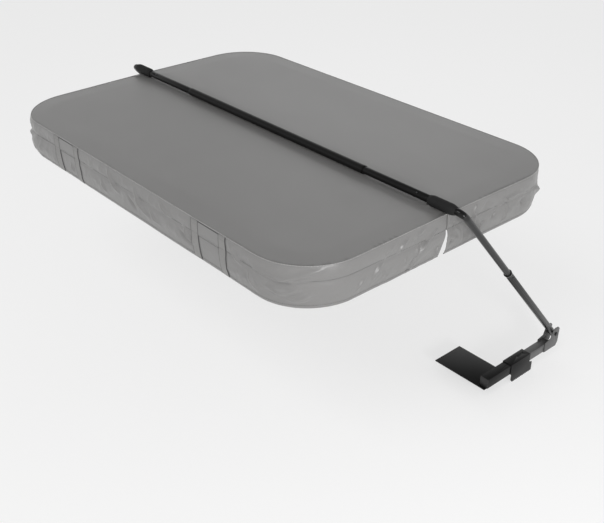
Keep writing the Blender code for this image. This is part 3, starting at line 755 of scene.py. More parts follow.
for side in (-1, 1):
    name = half_names[side]
    welt = cord_along([point for point, _ in run_points(side, 0, 0.0004, 0.0006)], 0.0017)
    fit_out(welt, f"{name}_welt", vinyl, "vinyl", f"{name}_half")
    for label, row, offset, drop, thread, pitch in (
            ("welt", 0, 0.0018, 0.0004, pale_thread, 0.0105),
            ("seam", band_rows, 0.0030, -0.0060, dark_thread, 0.0080)):
        line = stitch_row(run_points(side, row, offset, drop), pitch, pitch * 0.68, 0.0018)
        fit_out(line, f"{name}_{label}_stitches", thread, "webbing", f"{name}_half")
    hem_line = []
    for step, (point, out) in enumerate(run_points(side, -3, 0.0018, 0.003)):
        hem_line.append((point + Vector((0.0, side * parted(side, step, 0.95), 0.0)), out))
    line = stitch_row(hem_line, 0.0080, 0.0054, 0.0012)
    fit_out(line, f"{name}_hem_stitches", dark_thread, "webbing", f"{name}_half")


# ---- Handles -----------------------------------------------------------------------------------
# Two grab handles on the front edge: a stitched vinyl panel between two 45 mm webbing straps, which
# are sewn in at the welt and again at the hem. The straps follow the puckers of the cloth under them.

def weave_group():
    """Plain weave from a surface's own width and length in metres: ribs that pass over and under."""
    tree, add, link, given, put = new_group("Plain weave", {"Pitch": 0.0018}, ["Height", "Gaps"])
    split = add("ShaderNodeSeparateXYZ")
    link(given.outputs["Vector"], split.inputs["Vector"])
    waves = []
    for axis in ("X", "Y"):
        count = add("ShaderNodeMath", operation="DIVIDE")
        link(split.outputs[axis], count.inputs[0])
        link(given.outputs["Pitch"], count.inputs[1])
        turn = add("ShaderNodeMath", operation="MULTIPLY")
        turn.inputs[1].default_value = 2 * pi
        link(count.outputs[0], turn.inputs[0])
        wave = add("ShaderNodeMath", operation="SINE")
        link(turn.outputs[0], wave.inputs[0])
        waves.append(wave.outputs[0])
    crossing = add("ShaderNodeMath", operation="MULTIPLY")
    link(waves[0], crossing.inputs[0])
    link(waves[1], crossing.inputs[1])
    height = add("ShaderNodeMapRange", From_Min=-1.0, From_Max=1.0)
    link(crossing.outputs[0], height.inputs["Value"])
    gaps = add("ShaderNodeMapRange", From_Min=0.0, From_Max=0.35)
    link(height.outputs["Result"], gaps.inputs["Value"])
    link(height.outputs["Result"], put.inputs["Height"])
    link(gaps.outputs["Result"], put.inputs["Gaps"])
    return tree


plain_weave = weave_group()


def webbing_material(name, color):
    material, shader, add, link, _ = start_material(name, color, 0.72, Sheen_Weight=0.15)
    strip = add("ShaderNodeUVMap", uv_map="strip")
    weave = add("ShaderNodeGroup", node_tree=plain_weave, Pitch=0.0021)
    link(strip.outputs["UV"], weave.inputs["Vector"])
    tinted, _ = drifting_color(add, link, strip.outputs["UV"], shader, color, 0.05, 40.0)
    split = add("ShaderNodeSeparateXYZ")
    link(strip.outputs["UV"], split.inputs["Vector"])
    centre = add("ShaderNodeMath", operation="ABSOLUTE")
    link(split.outputs["X"], centre.inputs[0])
    # Painted shade: the outer two millimetres of each strap edge are drawn down to 0.28 of the colour,
    # standing in for the shadow along the strap's raised edges.
    painted_edge_shade = add("ShaderNodeMapRange", From_Min=0.0190, From_Max=0.0205, To_Min=1.0, To_Max=0.28)
    link(centre.outputs[0], painted_edge_shade.inputs["Value"])
    woven = add("ShaderNodeMapRange", To_Min=0.78, To_Max=1.0)
    link(weave.outputs["Gaps"], woven.inputs["Value"])
    shade = add("ShaderNodeMath", operation="MULTIPLY")
    link(painted_edge_shade.outputs["Result"], shade.inputs[0])
    link(woven.outputs["Result"], shade.inputs[1])
    shaded_color(add, link, tinted, shade.outputs[0], shader)
    bumped(add, link, weave.outputs["Height"], shader, 0.5, 0.0004)
    return material


webbing = webbing_material("Grey polyester webbing", (0.215, 0.212, 0.207))
strap_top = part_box("handle_right_strap_a")[1].z
strap_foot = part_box("handle_right_strap_a")[0].z
panel_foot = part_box("handle_right_panel")[0].z

graph = bpy.context.evaluated_depsgraph_get()
front_cloth = [BVHTree.FromObject(item, graph) for item in (jackets[-1], skirts[-1])]


def cloth_front(x, height):
    """The y of the front cloth's face at one place."""
    nearest = -half_depth + skirt_tuck
    for tree in front_cloth:
        place, _, _, _ = tree.ray_cast(Vector((x, -1.2, height)), Vector((0.0, 1.0, 0.0)))
        if place:
            nearest = min(nearest, place.y)
    return nearest


def laid_strip(x_low, x_high, z_low, z_high, proud, thickness, columns, rows):
    """A strip that lies on the front cloth, bridging its small puckers, with a strip map in metres."""
    grid = []
    for row in range(rows + 1):
        height = z_high + (z_low - z_high) * row / rows
        line = []
        for column in range(columns + 1):
            x = x_low + (x_high - x_low) * column / columns
            near = [
                cloth_front(x + dx, height + dz)
                for dx in (-0.010, 0.0, 0.010) for dz in (-0.007, 0.0, 0.007)]
            depth = 0.5 * min(near) + 0.5 * sum(near) / len(near)
            line.append((x, min(depth, near[4] - 0.0004) - proud, height))
        grid.append(line)
    strip = sheet_from_rows(grid, False)
    layer = strip.data.uv_layers.new(name="strip")
    middle = (x_low + x_high) / 2
    for loop in strip.data.loops:
        place = strip.data.vertices[loop.vertex_index].co
        layer.data[loop.index].uv = (place.x - middle, place.z)
    grow_rounder(strip)
    apply_modifier(strip, "SOLIDIFY", thickness=thickness, offset=1.0)
    apply_modifier(strip, "BEVEL", width=0.0004, segments=2, limit_method="ANGLE", angle_limit=radians(50))
    smooth(strip, 50)
    return strip


for label, middle in (("left", -handle_x), ("right", handle_x)):
    edges = []
    for strap in ("a", "b"):
        low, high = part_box(f"handle_{label}_strap_{strap}")
        band = laid_strip(low.x, high.x, strap_foot, strap_top, 0.0002, 0.0016, 8, 30)
        fit_out(
            band, f"handle_{label}_webbing_{strap}", webbing, "webbing", "front_half",
            f"handle_{label}_strap_{strap}")
        edges += [low.x, high.x]
        # Painted shadow: dark thread cords down both strap edges, the right-hand one thicker, stand in for
        # the shadow lines beside the raised strap as well as for a dark stitched edge.
        for x, radius in ((low.x, 0.0008), (high.x, 0.0014)):
            seam = []
            for row in range(45):
                height = strap_top - 0.001 + (strap_foot + 0.002 - strap_top) * row / 44
                depth = min(cloth_front(x + aside, height) for aside in (-0.003, 0, 0.003))
                seam.append(Vector((x, depth - 0.0010, height)))
            cord = cord_along(seam, radius, 1)
            side_word = "left" if x == low.x else "right"
            fit_out(cord, f"handle_{label}_{strap}_{side_word}_binding", dark_thread, "webbing", "front_half")
        bars = []
        for height in (
                strap_top - 0.006, strap_top - 0.016, panel_foot + 0.004,
                strap_foot + 0.012, strap_foot + 0.006):
            line = []
            for step in range(9):
                x = low.x + 0.004 + (high.x - low.x - 0.008) * step / 8
                line.append((Vector((x, cloth_front(x, height) - 0.0024, height)), Vector((0.0, -1.0, 0.0))))
            bars.append(stitch_row(line, 0.0042, 0.0030, 0.0009))
        use(bars[0])
        for bar in bars:
            bar.select_set(True)
        bpy.ops.object.join()
        fit_out(bars[0], f"handle_{label}_{strap}_bar_tacks", dark_thread, "webbing", "front_half")
    panel_low, panel_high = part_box(f"handle_{label}_panel")
    panel = laid_strip(panel_low.x, panel_high.x, panel_foot, strap_top - 0.004, 0.0002, 0.0014, 18, 10)
    fit_out(panel, f"handle_{label}_grab_panel", vinyl, "vinyl", "front_half", f"handle_{label}_panel")
    # Painted shadow: dark thread cords under the panel's top seam and along its free lower edge stand in for
    # the shadows that fall there.
    for word, height, radius in (
            ("upper", strap_top - 0.003, 0.0013), ("lower", panel_foot - 0.0005, 0.0015)):
        shadow_line = []
        for step in range(40):
            x = edges[1] + (edges[2] - edges[1]) * step / 39
            shadow_line.append(Vector((x, cloth_front(x, height) - 0.0008, height)))
        shadow_line_cord = cord_along(shadow_line, radius, 1)
        fit_out(shadow_line_cord, f"handle_{label}_{word}_trim", dark_thread, "webbing", "front_half")


# ---- Fold: hinge strip, seal pad and zips ------------------------------------------------------
# The halves hinge on a doubled vinyl strip sewn over the fold. A foam pad in vinyl closes the gap
# between the fold faces, and a coil zip in each face lets the foam core be changed.

hinge_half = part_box("fold_hinge")[1].x
hinge_front, hinge_rear = -0.011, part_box("fold_hinge")[1].y
hinge_rows = []
for row in range(15):
    y = hinge_front + (hinge_rear - hinge_front) * row / 14
    line = []
    for step in range(211):
        x = -hinge_half + 2 * hinge_half * step / 210
        pucker = 0.0004 * sin(x * 2 * pi / 0.021) * exp(-((y - hinge_rear) / 0.010) ** 2)
        soft = 0.0003 * noise.noise(Vector((x * 14.0, y * 30.0, 5.0)))
        crown = 0.0006 * exp(-(y / 0.010) ** 2)
        line.append((x, y, fold_top + 0.0010 + pucker + soft + crown))
    hinge_rows.append(line)
hinge = sheet_from_rows(hinge_rows, True)
apply_modifier(hinge, "SOLIDIFY", thickness=0.0009, offset=1.0)
smooth(hinge, 60)
fit_out(hinge, "hinge_strip", vinyl, "vinyl", None, "fold_hinge")
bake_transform(hinge)
for side, row_y in ((-1, hinge_front + 0.003), (1, hinge_rear - 0.004)):
    name, reach, height = half_names[side], hinge_half - 0.004, fold_top + 0.0020
    line = straight_seam((-reach, row_y, height), (reach, row_y, height), 200, (0.0, 0.0, 1.0))
    stitches = stitch_row(line, 0.0080, 0.0055, 0.0010)
    fit_out(stitches, f"{name}_hinge_stitches", dark_thread, "webbing", f"{name}_half")


def fixed_primitive():
    """The primitive just added, with its place, turn and scale put into its mesh."""
    bpy.ops.object.transform_apply(location=True, rotation=True, scale=True)
    return bpy.context.object


def cut_rings(places, normal):
    """Cut the active piece all round at each place, square to a direction."""
    bpy.ops.object.mode_set(mode="EDIT")
    for place in places:
        bpy.ops.mesh.select_all(action="SELECT")
        bpy.ops.mesh.bisect(plane_co=place, plane_no=normal)
    bpy.ops.object.mode_set(mode="OBJECT")


seal_low, seal_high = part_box("hinge_seal")
bpy.ops.mesh.primitive_cube_add(size=1.0, location=(seal_low + seal_high) / 2, scale=seal_high - seal_low)
seal = fixed_primitive()
seal_step = (seal_high.x - seal_low.x) / 34
cut_rings([(seal_low.x + seal_step * cut, 0.0, 0.0) for cut in range(1, 34)], (1.0, 0.0, 0.0))
apply_modifier(seal, "BEVEL", width=0.0019, segments=3, limit_method="ANGLE")
for vertex in seal.data.vertices:
    ripple = 1.0 + sin(vertex.co.x * 2 * pi / 0.12)
    vertex.co.y -= 0.0004 * ripple * (0.5 + 0.5 * noise.noise(vertex.co * 20.0))
smooth(seal, 60)
fit_out(seal, "seal_pad", vinyl_back, "vinyl", "rear_half", "hinge_seal")


def zip_material():
    material, shader, add, link, where = start_material("Black zip", (0.020, 0.020, 0.021), 0.55)
    ribs = add("ShaderNodeTexWave", wave_type="BANDS", bands_direction="X", Scale=240.0)
    link(where, ribs.inputs["Vector"])
    drifting_color(add, link, where, shader, (0.020, 0.020, 0.021), 0.2, 30.0)
    bumped(add, link, ribs.outputs["Fac"], shader, 0.5, 0.0003)
    return material


zip_black = zip_material()
for side in (-1, 1):
    name = half_names[side]
    low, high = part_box(f"{name}_zip")
    middle = (low.z + high.z) / 2
    bpy.ops.mesh.primitive_cube_add(
        size=1.0, location=(0.0, side * (fold_gap + 0.0001), middle), scale=(high.x - low.x, 0.0010, 0.018))
    tape = fixed_primitive()
    apply_modifier(tape, "BEVEL", width=0.0004, segments=2)
    rows = []
    for lift in (-0.0011, 0.0011):
        y, height = side * (fold_gap - 0.0007), middle + lift
        start, end = (low.x + 0.004 + lift, y, height), (high.x - 0.004 + lift, y, height)
        rows.append(stitch_row(straight_seam(start, end, 200, (0.0, 0.0, 1.0)), 0.0044, 0.0020, 0.0026))
    use(tape)
    for teeth in rows:
        teeth.select_set(True)
    bpy.ops.object.join()
    smooth(tape, 40)
    fit_out(tape, f"{name}_coil_zip", zip_black, "zip_tape", f"{name}_half", f"{name}_zip")


# ---- Cross bar ---------------------------------------------------------------------------------
# Black powder-coated steel tube: a 36 mm centre tube telescopes over a 32 mm tube on each side, and
# spring buttons lock the width. A moulded foam grip is pushed on next to each elbow.

def coat_relief_group():
    """Fine coating relief and scuffs: a speckle for orange peel, and rare thin scratches."""
    tree, add, link, given, put = new_group("Coat relief", {"Scale": 900.0}, ["Height", "Scuffs"])
    peel = add("ShaderNodeTexNoise", Detail=2.0, Roughness=0.5)
    link(given.outputs["Vector"], peel.inputs["Vector"])
    link(given.outputs["Scale"], peel.inputs["Scale"])
    stretch = add("ShaderNodeMapping", Scale=(14.0, 60.0, 60.0))
    link(given.outputs["Vector"], stretch.inputs["Vector"])
    marks = add("ShaderNodeTexNoise", Scale=1.0, Detail=6.0, Roughness=0.75)
    link(stretch.outputs["Vector"], marks.inputs["Vector"])
    rare = add("ShaderNodeMapRange", From_Min=0.64, From_Max=0.74)
    link(marks.outputs["Fac"], rare.inputs["Value"])
    link(peel.outputs["Fac"], put.inputs["Height"])
    link(rare.outputs["Result"], put.inputs["Scuffs"])
    return tree


coat_relief = coat_relief_group()


def coated_material(name, color, gloss, scuff=0.25, coarse=900.0, depth=0.00005, **values):
    """Powder coat or paint on steel: faint peel, slow tone drift and a few duller scuffs."""
    material, shader, add, link, where = start_material(name, color, gloss, **values)
    tinted, _ = drifting_color(add, link, where, shader, color, 0.10, 7.0)
    coat = add("ShaderNodeGroup", node_tree=coat_relief, Scale=coarse)
    link(where, coat.inputs["Vector"])
    lighter = add("ShaderNodeMapRange", To_Min=1.0, To_Max=1.0 + scuff * 2)
    link(coat.outputs["Scuffs"], lighter.inputs["Value"])
    shaded_color(add, link, tinted, lighter.outputs["Result"], shader)
    varied_roughness(add, link, coat.outputs["Scuffs"], shader, gloss, gloss + scuff)
    bumped(add, link, coat.outputs["Height"], shader, 0.35, depth)
    return material


bar_black = coated_material("Black powder coat", (0.0052, 0.0051, 0.0050), 0.34, Specular_IOR_Level=0.14)
arm_grey = coated_material("Charcoal arm paint", (0.012, 0.012, 0.012), 0.28, Specular_IOR_Level=0.36)
sleeve_black = coated_material(
    "Gloss black sleeve", (0.004, 0.004, 0.004), 0.16, 0.15, Specular_IOR_Level=0.25)


def grip_material():
    material, shader, add, link, where = start_material(
        "Foam grip", (0.012, 0.012, 0.012), 0.70, Specular_IOR_Level=0.2)
    cells = add("ShaderNodeTexVoronoi", feature="F1", Scale=1100.0)
    link(where, cells.inputs["Vector"])
    drifting_color(add, link, where, shader, (0.012, 0.012, 0.012), 0.12, 25.0)
    bumped(add, link, cells.outputs["Distance"], shader, 0.45, 0.0003)
    return material


grip_foam = grip_material()
bar_height = (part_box("bar_centre_tube")[0].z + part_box("bar_centre_tube")[1].z) / 2


def steel_tube(x_low, x_high, radius, wall, rims=()):
    """A tube along X: an open cylinder with raised rims (x, proud), given a wall and softened ends."""
    bpy.ops.mesh.primitive_cylinder_add(
        vertices=48, radius=radius, depth=x_high - x_low, end_fill_type="NOTHING",
        location=((x_low + x_high) / 2, 0.0, bar_height), rotation=(0.0, pi / 2, 0.0))
    tube = fixed_primitive()
    rim_edges = sorted({edge for start, end, _ in rims for edge in (start, end)})
    cut_rings([(x, 0.0, 0.0) for x in rim_edges], (1.0, 0.0, 0.0))
    for vertex in tube.data.vertices:
        for start, end, proud in rims:
            if start - 1e-5 <= vertex.co.x <= end + 1e-5:
                away = Vector((0.0, vertex.co.y, vertex.co.z - bar_height)).normalized()
                vertex.co += away * proud
    apply_modifier(tube, "SOLIDIFY", thickness=wall, offset=-1.0)
    apply_modifier(tube, "BEVEL", width=0.0006, segments=2, limit_method="ANGLE", angle_limit=radians(40))
    smooth(tube, 35)
    return tube


centre_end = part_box("bar_centre_tube")[1].x
centre_rims = ((-centre_end, 0.012 - centre_end, 0.0005), (centre_end - 0.012, centre_end, 0.0005))
centre_tube = steel_tube(-centre_end, centre_end, 0.0180, 0.0016, centre_rims)
fit_out(centre_tube, "bar_sleeve_tube", bar_black, "black_tube", "lift_frame", "bar_centre_tube")


def turned_piece(profile, x_start, sign, sides=48):
    """Spin a profile of (distance, radius) about the bar's line, starting at x_start and going outwards."""
    bpy.ops.mesh.primitive_plane_add(size=1.0)
    piece = bpy.context.object
    bpy.ops.object.mode_set(mode="EDIT")
    bpy.ops.mesh.select_all(action="SELECT")
    bpy.ops.mesh.delete(type="VERT")
    bpy.ops.object.mode_set(mode="OBJECT")
    outline = [Vector((x_start + sign * distance, 0.0, bar_height + radius)) for distance, radius in profile]
    edges = [(index, (index + 1) % len(outline)) for index in range(len(outline))]
    piece.data.from_pydata(outline, edges, [])
    use(piece)
    bpy.ops.object.mode_set(mode="EDIT")
    bpy.ops.mesh.select_all(action="SELECT")
    bpy.ops.mesh.spin(steps=sides, angle=2 * pi, center=(0.0, 0.0, bar_height), axis=(1.0, 0.0, 0.0))
    bpy.ops.mesh.select_all(action="SELECT")
    bpy.ops.mesh.remove_doubles(threshold=0.00001)
    bpy.ops.mesh.normals_make_consistent(inside=False)
    bpy.ops.object.mode_set(mode="OBJECT")
    piece.location = (0.0, 0.0, 0.0)
    smooth(piece, 40)
    return piece


def grip_profile(length):
    """Half-section of the grip: a mounting collar, a swelling body with shallow grooves, round ends."""
    bore = 0.0146
    outline = [(0.0, bore), (0.0, 0.0176), (0.0008, 0.0186), (0.0030, 0.0190), (0.0060, 0.0192)]
    count = 26
    for step in range(count + 1):
        share = step / count
        distance = 0.008 + (length - 0.010) * share
        front = 0.0033 * (1.0 - min(1.0, (distance - 0.006) / 0.014)) ** 2
        back = 0.0066 * (1.0 - min(1.0, (length - distance) / 0.034)) ** 2.4
        radius = 0.0223 - front - back
        outline.append((distance, radius + 0.00018 * cos(share * 2 * pi * 11)))
    outline += [(length - 0.0010, 0.0162), (length, 0.0150), (length, bore)]
    return outline


for label, sign in (("left", -1), ("right", 1)):
    low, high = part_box(f"grip_{label}")
    start = min(abs(low.x), abs(high.x))
    length = high.x - low.x
    grip = turned_piece(grip_profile(length), sign * start, sign)
    fit_out(grip, f"foam_grip_{label}", grip_foam, "grip_foam", "lift_frame", f"grip_{label}")


def eased(node, width, angle=38.0):
    """A copy of a frame node in its own place, merged and with its sharp edges broken."""
    piece = linked(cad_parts[node].data.copy())
    use(piece)
    bpy.ops.object.mode_set(mode="EDIT")
    bpy.ops.mesh.select_all(action="SELECT")
    bpy.ops.mesh.customdata_custom_splitnormals_clear()
    bpy.ops.mesh.remove_doubles(threshold=0.00002)
    bpy.ops.mesh.dissolve_limited(angle_limit=radians(0.6))
    bpy.ops.object.mode_set(mode="OBJECT")
    if width > 0:
        apply_modifier(
            piece, "BEVEL", width=width, segments=2, limit_method="ANGLE", angle_limit=radians(angle),
            use_clamp_overlap=True)
    smooth(piece, 32)
    return piece


for label in ("left", "right"):
    tube = eased(f"bar_tube_{label}", 0.0003)
    fit_out(tube, f"bar_side_tube_{label}", bar_black, "black_tube", "lift_frame", f"bar_tube_{label}")


# ---- Elbows and arms ---------------------------------------------------------------------------
# A 28 mm tube is bent down beside each grip and slides inside a 32 mm lower arm, where a moulded
# guide collar and a spring button set the length. Both are steel in charcoal paint.

pivot_low, pivot_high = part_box("pivot_bolt_right")
pivot = Vector((1.075, (pivot_low.y + pivot_high.y) / 2, (pivot_low.z + pivot_high.z) / 2))
elbow_corner = 1.125
bend_radius = 0.032
arm_joint = 0.547
inner_radius = 0.0140


def arm_frame(sign):
    """Elbow corner, direction down the arm, bend angle, bend centre and bend axis of one side."""
    corner = Vector((sign * elbow_corner, 0.0, bar_height))
    down = (Vector((sign * pivot.x, pivot.y, pivot.z)) - corner).normalized()
    across = Vector((sign, 0.0, 0.0))
    spread = across.angle(down)
    centre = corner + (down - across).normalized() * (bend_radius / cos(spread / 2))
    return corner, across, down, spread, centre, across.cross(down).normalized()


def bent_tube(sign, straight_from, end_reach, radius, turn_share=1.0):
    """A tube drawn along the bar's line, bent by spinning its end, and drawn on down the arm."""
    corner, across, down, spread, centre, axis = arm_frame(sign)
    tangent = bend_radius * tan(spread / 2)
    bend_start = corner - across * tangent
    first = Vector((sign * straight_from, 0.0, bar_height))
    bpy.ops.mesh.primitive_circle_add(
        vertices=40, radius=radius, fill_type="NOTHING", location=first, rotation=(0.0, sign * pi / 2, 0.0))
    tube = fixed_primitive()
    bpy.ops.object.mode_set(mode="EDIT")
    bpy.ops.mesh.select_all(action="SELECT")
    reach = (bend_start - first).length
    for share in (0.90, 0.04, 0.03, 0.03):
        bpy.ops.mesh.extrude_region_move(TRANSFORM_OT_translate={"value": across * reach * share})
    bpy.ops.mesh.spin(steps=14, angle=-spread * turn_share, center=centre, axis=axis)
    if end_reach > 0:
        length = end_reach - tangent
        for share in (0.02, 0.02, 0.96):
            bpy.ops.mesh.extrude_region_move(TRANSFORM_OT_translate={"value": down * length * share})
    bpy.ops.mesh.select_all(action="SELECT")
    bpy.ops.mesh.remove_doubles(threshold=0.00001)
    bpy.ops.mesh.normals_make_consistent(inside=False)
    bpy.ops.object.mode_set(mode="OBJECT")
    return tube


def squeeze_bend(tube, sign, depth):
    """Bending flattens a tube: draw the inside of the bend towards its line and pinch a soft crease."""
    _, across, down, _, centre, _ = arm_frame(sign)
    inward = (down - across).normalized()
    bend_middle = centre - inward * bend_radius
    for vertex in tube.data.vertices:
        away = (vertex.co - bend_middle).length
        side_out = (vertex.co - bend_middle).dot(inward)
        if away < 0.05 and side_out > 0:
            vertex.co -= inward * depth * exp(-(away / 0.022) ** 2)


for label, sign in (("left", -1), ("right", 1)):
    elbow = bent_tube(sign, 0.800, arm_joint + 0.120, inner_radius)
    squeeze_bend(elbow, sign, 0.0022)
    apply_modifier(elbow, "SOLIDIFY", thickness=0.0016, offset=-1.0)
    smooth(elbow, 40)
    fit_out(elbow, f"elbow_tube_{label}", arm_grey, "arm_tube", "lift_frame", f"elbow_{label}")

    sleeve = bent_tube(sign, 1.0865, 0.0, inner_radius + 0.0007, 0.62)
    apply_modifier(sleeve, "SOLIDIFY", thickness=0.0011, offset=-1.0)
    apply_modifier(sleeve, "BEVEL", width=0.0005, segments=2, limit_method="ANGLE", angle_limit=radians(45))
    smooth(sleeve, 40)
    fit_out(sleeve, f"elbow_sleeve_{label}", sleeve_black, "black_tube", "lift_frame")

    lower = eased(f"arm_lower_{label}", 0.0003)
    fit_out(lower, f"lower_arm_{label}", arm_grey, "arm_tube", "lift_frame", f"arm_lower_{label}")

    corner, _, down, _, _, _ = arm_frame(sign)
    joint = corner + down * arm_joint
    turn = down.to_track_quat("Z", "Y").to_matrix().to_4x4()
    bpy.ops.mesh.primitive_cylinder_add(
        vertices=40, radius=0.0166, depth=0.014, end_fill_type="NOTHING",
        location=joint, rotation=turn.to_euler())
    collar = fixed_primitive()
    cut_rings([joint + down * reach for reach in (-0.0055, -0.0035, 0.0015, 0.0025)], down)
    for vertex in collar.data.vertices:
        along = (vertex.co - joint).dot(down)
        away = (vertex.co - joint - down * along).normalized()
        if along < -0.0060:
            vertex.co = joint + down * along + away * 0.0146
        elif along < -0.0020:
            vertex.co += away * 0.0010
        elif along > 0.0020:
            vertex.co -= away * 0.0004
    apply_modifier(collar, "SOLIDIFY", thickness=0.0006, offset=1.0)
    apply_modifier(collar, "BEVEL", width=0.0003, segments=2, limit_method="ANGLE", angle_limit=radians(45))
    smooth(collar, 40)
    fit_out(collar, f"arm_guide_collar_{label}", sleeve_black, "nylon", "lift_frame")


# ---- Base on each side -------------------------------------------------------------------------
# A square slide tube with a two-cheek clevis slides in a heavier receiver, which is welded to a flat
# plate under the tub. A saddle clamps both, and its toothed leg bites into the ground beside the tub.

base_black = coated_material(
    "Base black coat", (0.0060, 0.0060, 0.0060), 0.40, 0.2, 600.0, 0.0001, Specular_IOR_Level=0.2)
tube_grey = coated_material("Slide tube grey", (0.085, 0.085, 0.085), 0.38)


def zinc_material(name, color, gloss):
    """Bright zinc plate: fine drawn lines, cloudy passivation."""
    material, shader, add, link, where = start_material(name, color, gloss, 1.0)
    stretch = add("ShaderNodeMapping", Scale=(40.0, 900.0, 900.0))
    link(where, stretch.inputs["Vector"])
    lines = add("ShaderNodeTexNoise", Scale=1.0, Detail=3.0)
    link(stretch.outputs["Vector"], lines.inputs["Vector"])
    _, cloud = drifting_color(add, link, where, shader, color, 0.12, 120.0)
    varied_roughness(add, link, cloud, shader, gloss - 0.08, gloss + 0.12)
    bumped(add, link, lines.outputs["Fac"], shader, 0.25, 0.0001)
    return material


def moulded_material(name, color, gloss):
    """Moulded nylon: faint spark texture and flow marks."""
    material, shader, add, link, where = start_material(name, color, gloss)
    spark = add("ShaderNodeTexNoise", Scale=2200.0, Detail=2.0)
    link(where, spark.inputs["Vector"])
    _, cloud = drifting_color(add, link, where, shader, color, 0.10, 35.0)
    varied_roughness(add, link, cloud, shader, gloss - 0.04, gloss + 0.08)
    bumped(add, link, spark.outputs["Fac"], shader, 0.35, 0.0001)
    return material


for label, sign in (("left", -1), ("right", 1)):
    low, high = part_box(f"slide_tube_{label}")
    x = (high.x if sign > 0 else low.x) + sign * 0.0001
    height = high.z - 0.006
    path = straight_seam((x, low.y + 0.010, height), (x, high.y - 0.040, height), 20, (sign, 0.0, 0.0))
    marks = stitch_row(path, 0.0075, 0.0055, 0.0016)
    fit_out(marks, f"slide_scale_marks_{label}", dark_thread, "base_black", "base")

zinc = zinc_material("Black zinc plate", (0.075, 0.075, 0.078), 0.38)
nylon = moulded_material("Black nylon", (0.008, 0.008, 0.008), 0.50)

for label in ("left", "right"):
    for node, width, material, slot in (
            ("base_plate", 0.0008, base_black, "base_black"), ("receiver", 0.0014, base_black, "base_black"),
            ("saddle", 0.0007, base_black, "base_black"), ("slide_tube", 0.0016, tube_grey, "arm_tube"),
            ("clevis", 0.0007, tube_grey, "arm_tube"), ("end_cap", 0.0006, nylon, "nylon"),
            ("pivot_bolt", 0.0005, zinc, "zinc"), ("pivot_nut", 0.0005, zinc, "zinc")):
        piece = eased(f"{node}_{label}", width)
        fit_out(piece, f"{node}_{label}_finish", material, slot, "base", f"{node}_{label}")


# ---- Parts that keep their frame shape ---------------------------------------------------------
# Foam cores, their steel channels, bushes, clamp screws, zip sliders and spring buttons are simple
# stock parts whose frame shape is right already; they only need their real finish.

def foam_material():
    """Expanded polystyrene: pressed beads with dark hairlines between them."""
    material, shader, add, link, where = start_material("White bead foam", (0.80, 0.81, 0.82), 0.75)
    beads = add("ShaderNodeTexVoronoi", feature="DISTANCE_TO_EDGE", Scale=260.0)
    link(where, beads.inputs["Vector"])
    joint = add("ShaderNodeMapRange", From_Min=0.0, From_Max=0.10, To_Min=0.86, To_Max=1.0)
    link(beads.outputs["Distance"], joint.inputs["Value"])
    tinted, _ = drifting_color(add, link, where, shader, (0.80, 0.81, 0.82), 0.04, 6.0)
    shaded_color(add, link, tinted, joint.outputs["Result"], shader)
    bumped(add, link, beads.outputs["Distance"], shader, 0.4, 0.0006)
    return material


def galvanised_material():
    """Hot-dipped sheet: flat spangles that differ in tone and gloss."""
    material, shader, add, link, where = start_material("Galvanised sheet", (0.56, 0.57, 0.58), 0.42, 1.0)
    spangle = add("ShaderNodeTexVoronoi", feature="F1", Scale=90.0)
    link(where, spangle.inputs["Vector"])
    grey = add("ShaderNodeSeparateXYZ")
    link(spangle.outputs["Color"], grey.inputs["Vector"])
    tone = add("ShaderNodeMapRange", To_Min=0.82, To_Max=1.08)
    link(grey.outputs["X"], tone.inputs["Value"])
    final = add("ShaderNodeVectorMath", operation="SCALE")
    final.inputs[0].default_value = (0.56, 0.57, 0.58)
    link(tone.outputs["Result"], final.inputs["Scale"])
    link(final.outputs["Vector"], shader.inputs["Base Color"])
    varied_roughness(add, link, grey.outputs["Y"], shader, 0.34, 0.52)
    return material


bead_foam = foam_material()
galvanised = galvanised_material()
kept_finishes = {
    "core": bead_foam, "channel": galvanised, "bush": nylon, "screw": zinc, "slider": zinc, "button": zinc}
for node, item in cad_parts.items():
    for word, material in kept_finishes.items():
        if word in node:
            item.data.materials.clear()
            item.data.materials.append(material)


# ---- Studio ------------------------------------------------------------------------------------
# A pale floor that glows a little, so that it stays near white, in a soft bright room. A broad light
# hangs high in front, a small one stands low on the right, and a faint one is behind the cover.

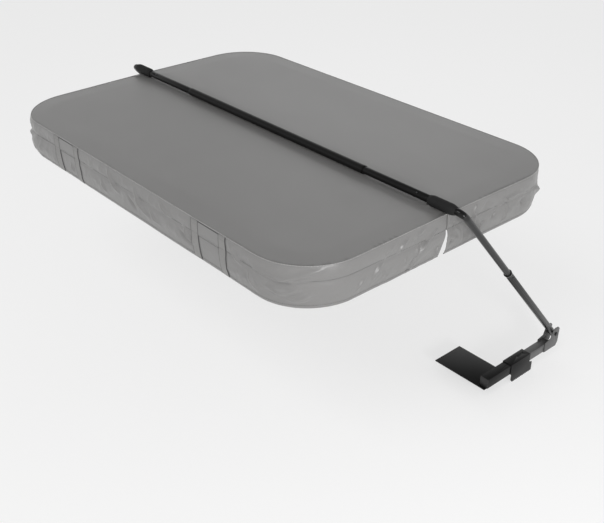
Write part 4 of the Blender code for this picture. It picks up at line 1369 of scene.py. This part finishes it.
bpy.ops.mesh.primitive_circle_add(
    vertices=96, radius=14.0, fill_type="NGON", location=(0.0, 0.0, cad_box[0][2] - 0.0005))
floor = bpy.context.object
floor.name = "studio_floor"
floor_paint, floor_shader, add, link, where = start_material(
    "Pale lit floor", (0.40, 0.40, 0.40), 0.9, Specular_IOR_Level=0.0, Emission_Color=(1.0, 1.0, 1.0, 1.0),
    Emission_Strength=0.59)
drifting_color(add, link, where, floor_shader, (0.40, 0.40, 0.40), 0.004, 0.8)
floor.data.materials.append(floor_paint)

world = bpy.data.worlds.new("Soft room")
bpy.context.scene.world = world
world.use_nodes = True
background = world.node_tree.nodes["Background"]
background.inputs["Color"].default_value = (1.0, 1.0, 1.0, 1.0)
add, link = node_tree_parts(world.node_tree)
sky = add("ShaderNodeTexCoord")
height = add("ShaderNodeSeparateXYZ")
link(sky.outputs["Generated"], height.inputs["Vector"])
dimming = add("ShaderNodeMapRange", From_Min=0.05, From_Max=0.95, To_Min=1.08, To_Max=0.28)
link(height.outputs["Z"], dimming.inputs["Value"])
link(dimming.outputs["Result"], background.inputs["Strength"])


def soft_light(name, place, aim, size, power):
    lamp = bpy.data.lights.new(name, "AREA")
    lamp.shape = "RECTANGLE"
    lamp.size, lamp.size_y = size
    lamp.energy = power
    item = linked(lamp)
    item.location = place
    item.rotation_euler = (Vector(aim) - Vector(place)).to_track_quat("-Z", "Y").to_euler()


soft_light("viewer light", (4.6, -1.4, 1.5), (0.6, -0.1, 0.9), (1.0, 0.7), 68.0)
soft_light("key light", (1.2, -5.0, 6.6), (0.0, 0.0, 0.95), (4.0, 3.0), 135.0)
soft_light("back light", (-2.5, 3.2, 3.2), (0.2, 0.0, 0.9), (2.4, 0.8), 5.0)

camera_data = bpy.data.cameras.new("camera")
camera = linked(camera_data)
camera_data.sensor_fit = "HORIZONTAL"
camera_data.sensor_width = 36.0
camera_data.lens = 54.77
camera.location = (2.994, -2.426, 2.573)
camera.rotation_euler = (radians(90.0 - 30.53), 0.0, radians(48.84))
bpy.context.scene.camera = camera
bpy.context.scene.view_settings.view_transform = "Standard"
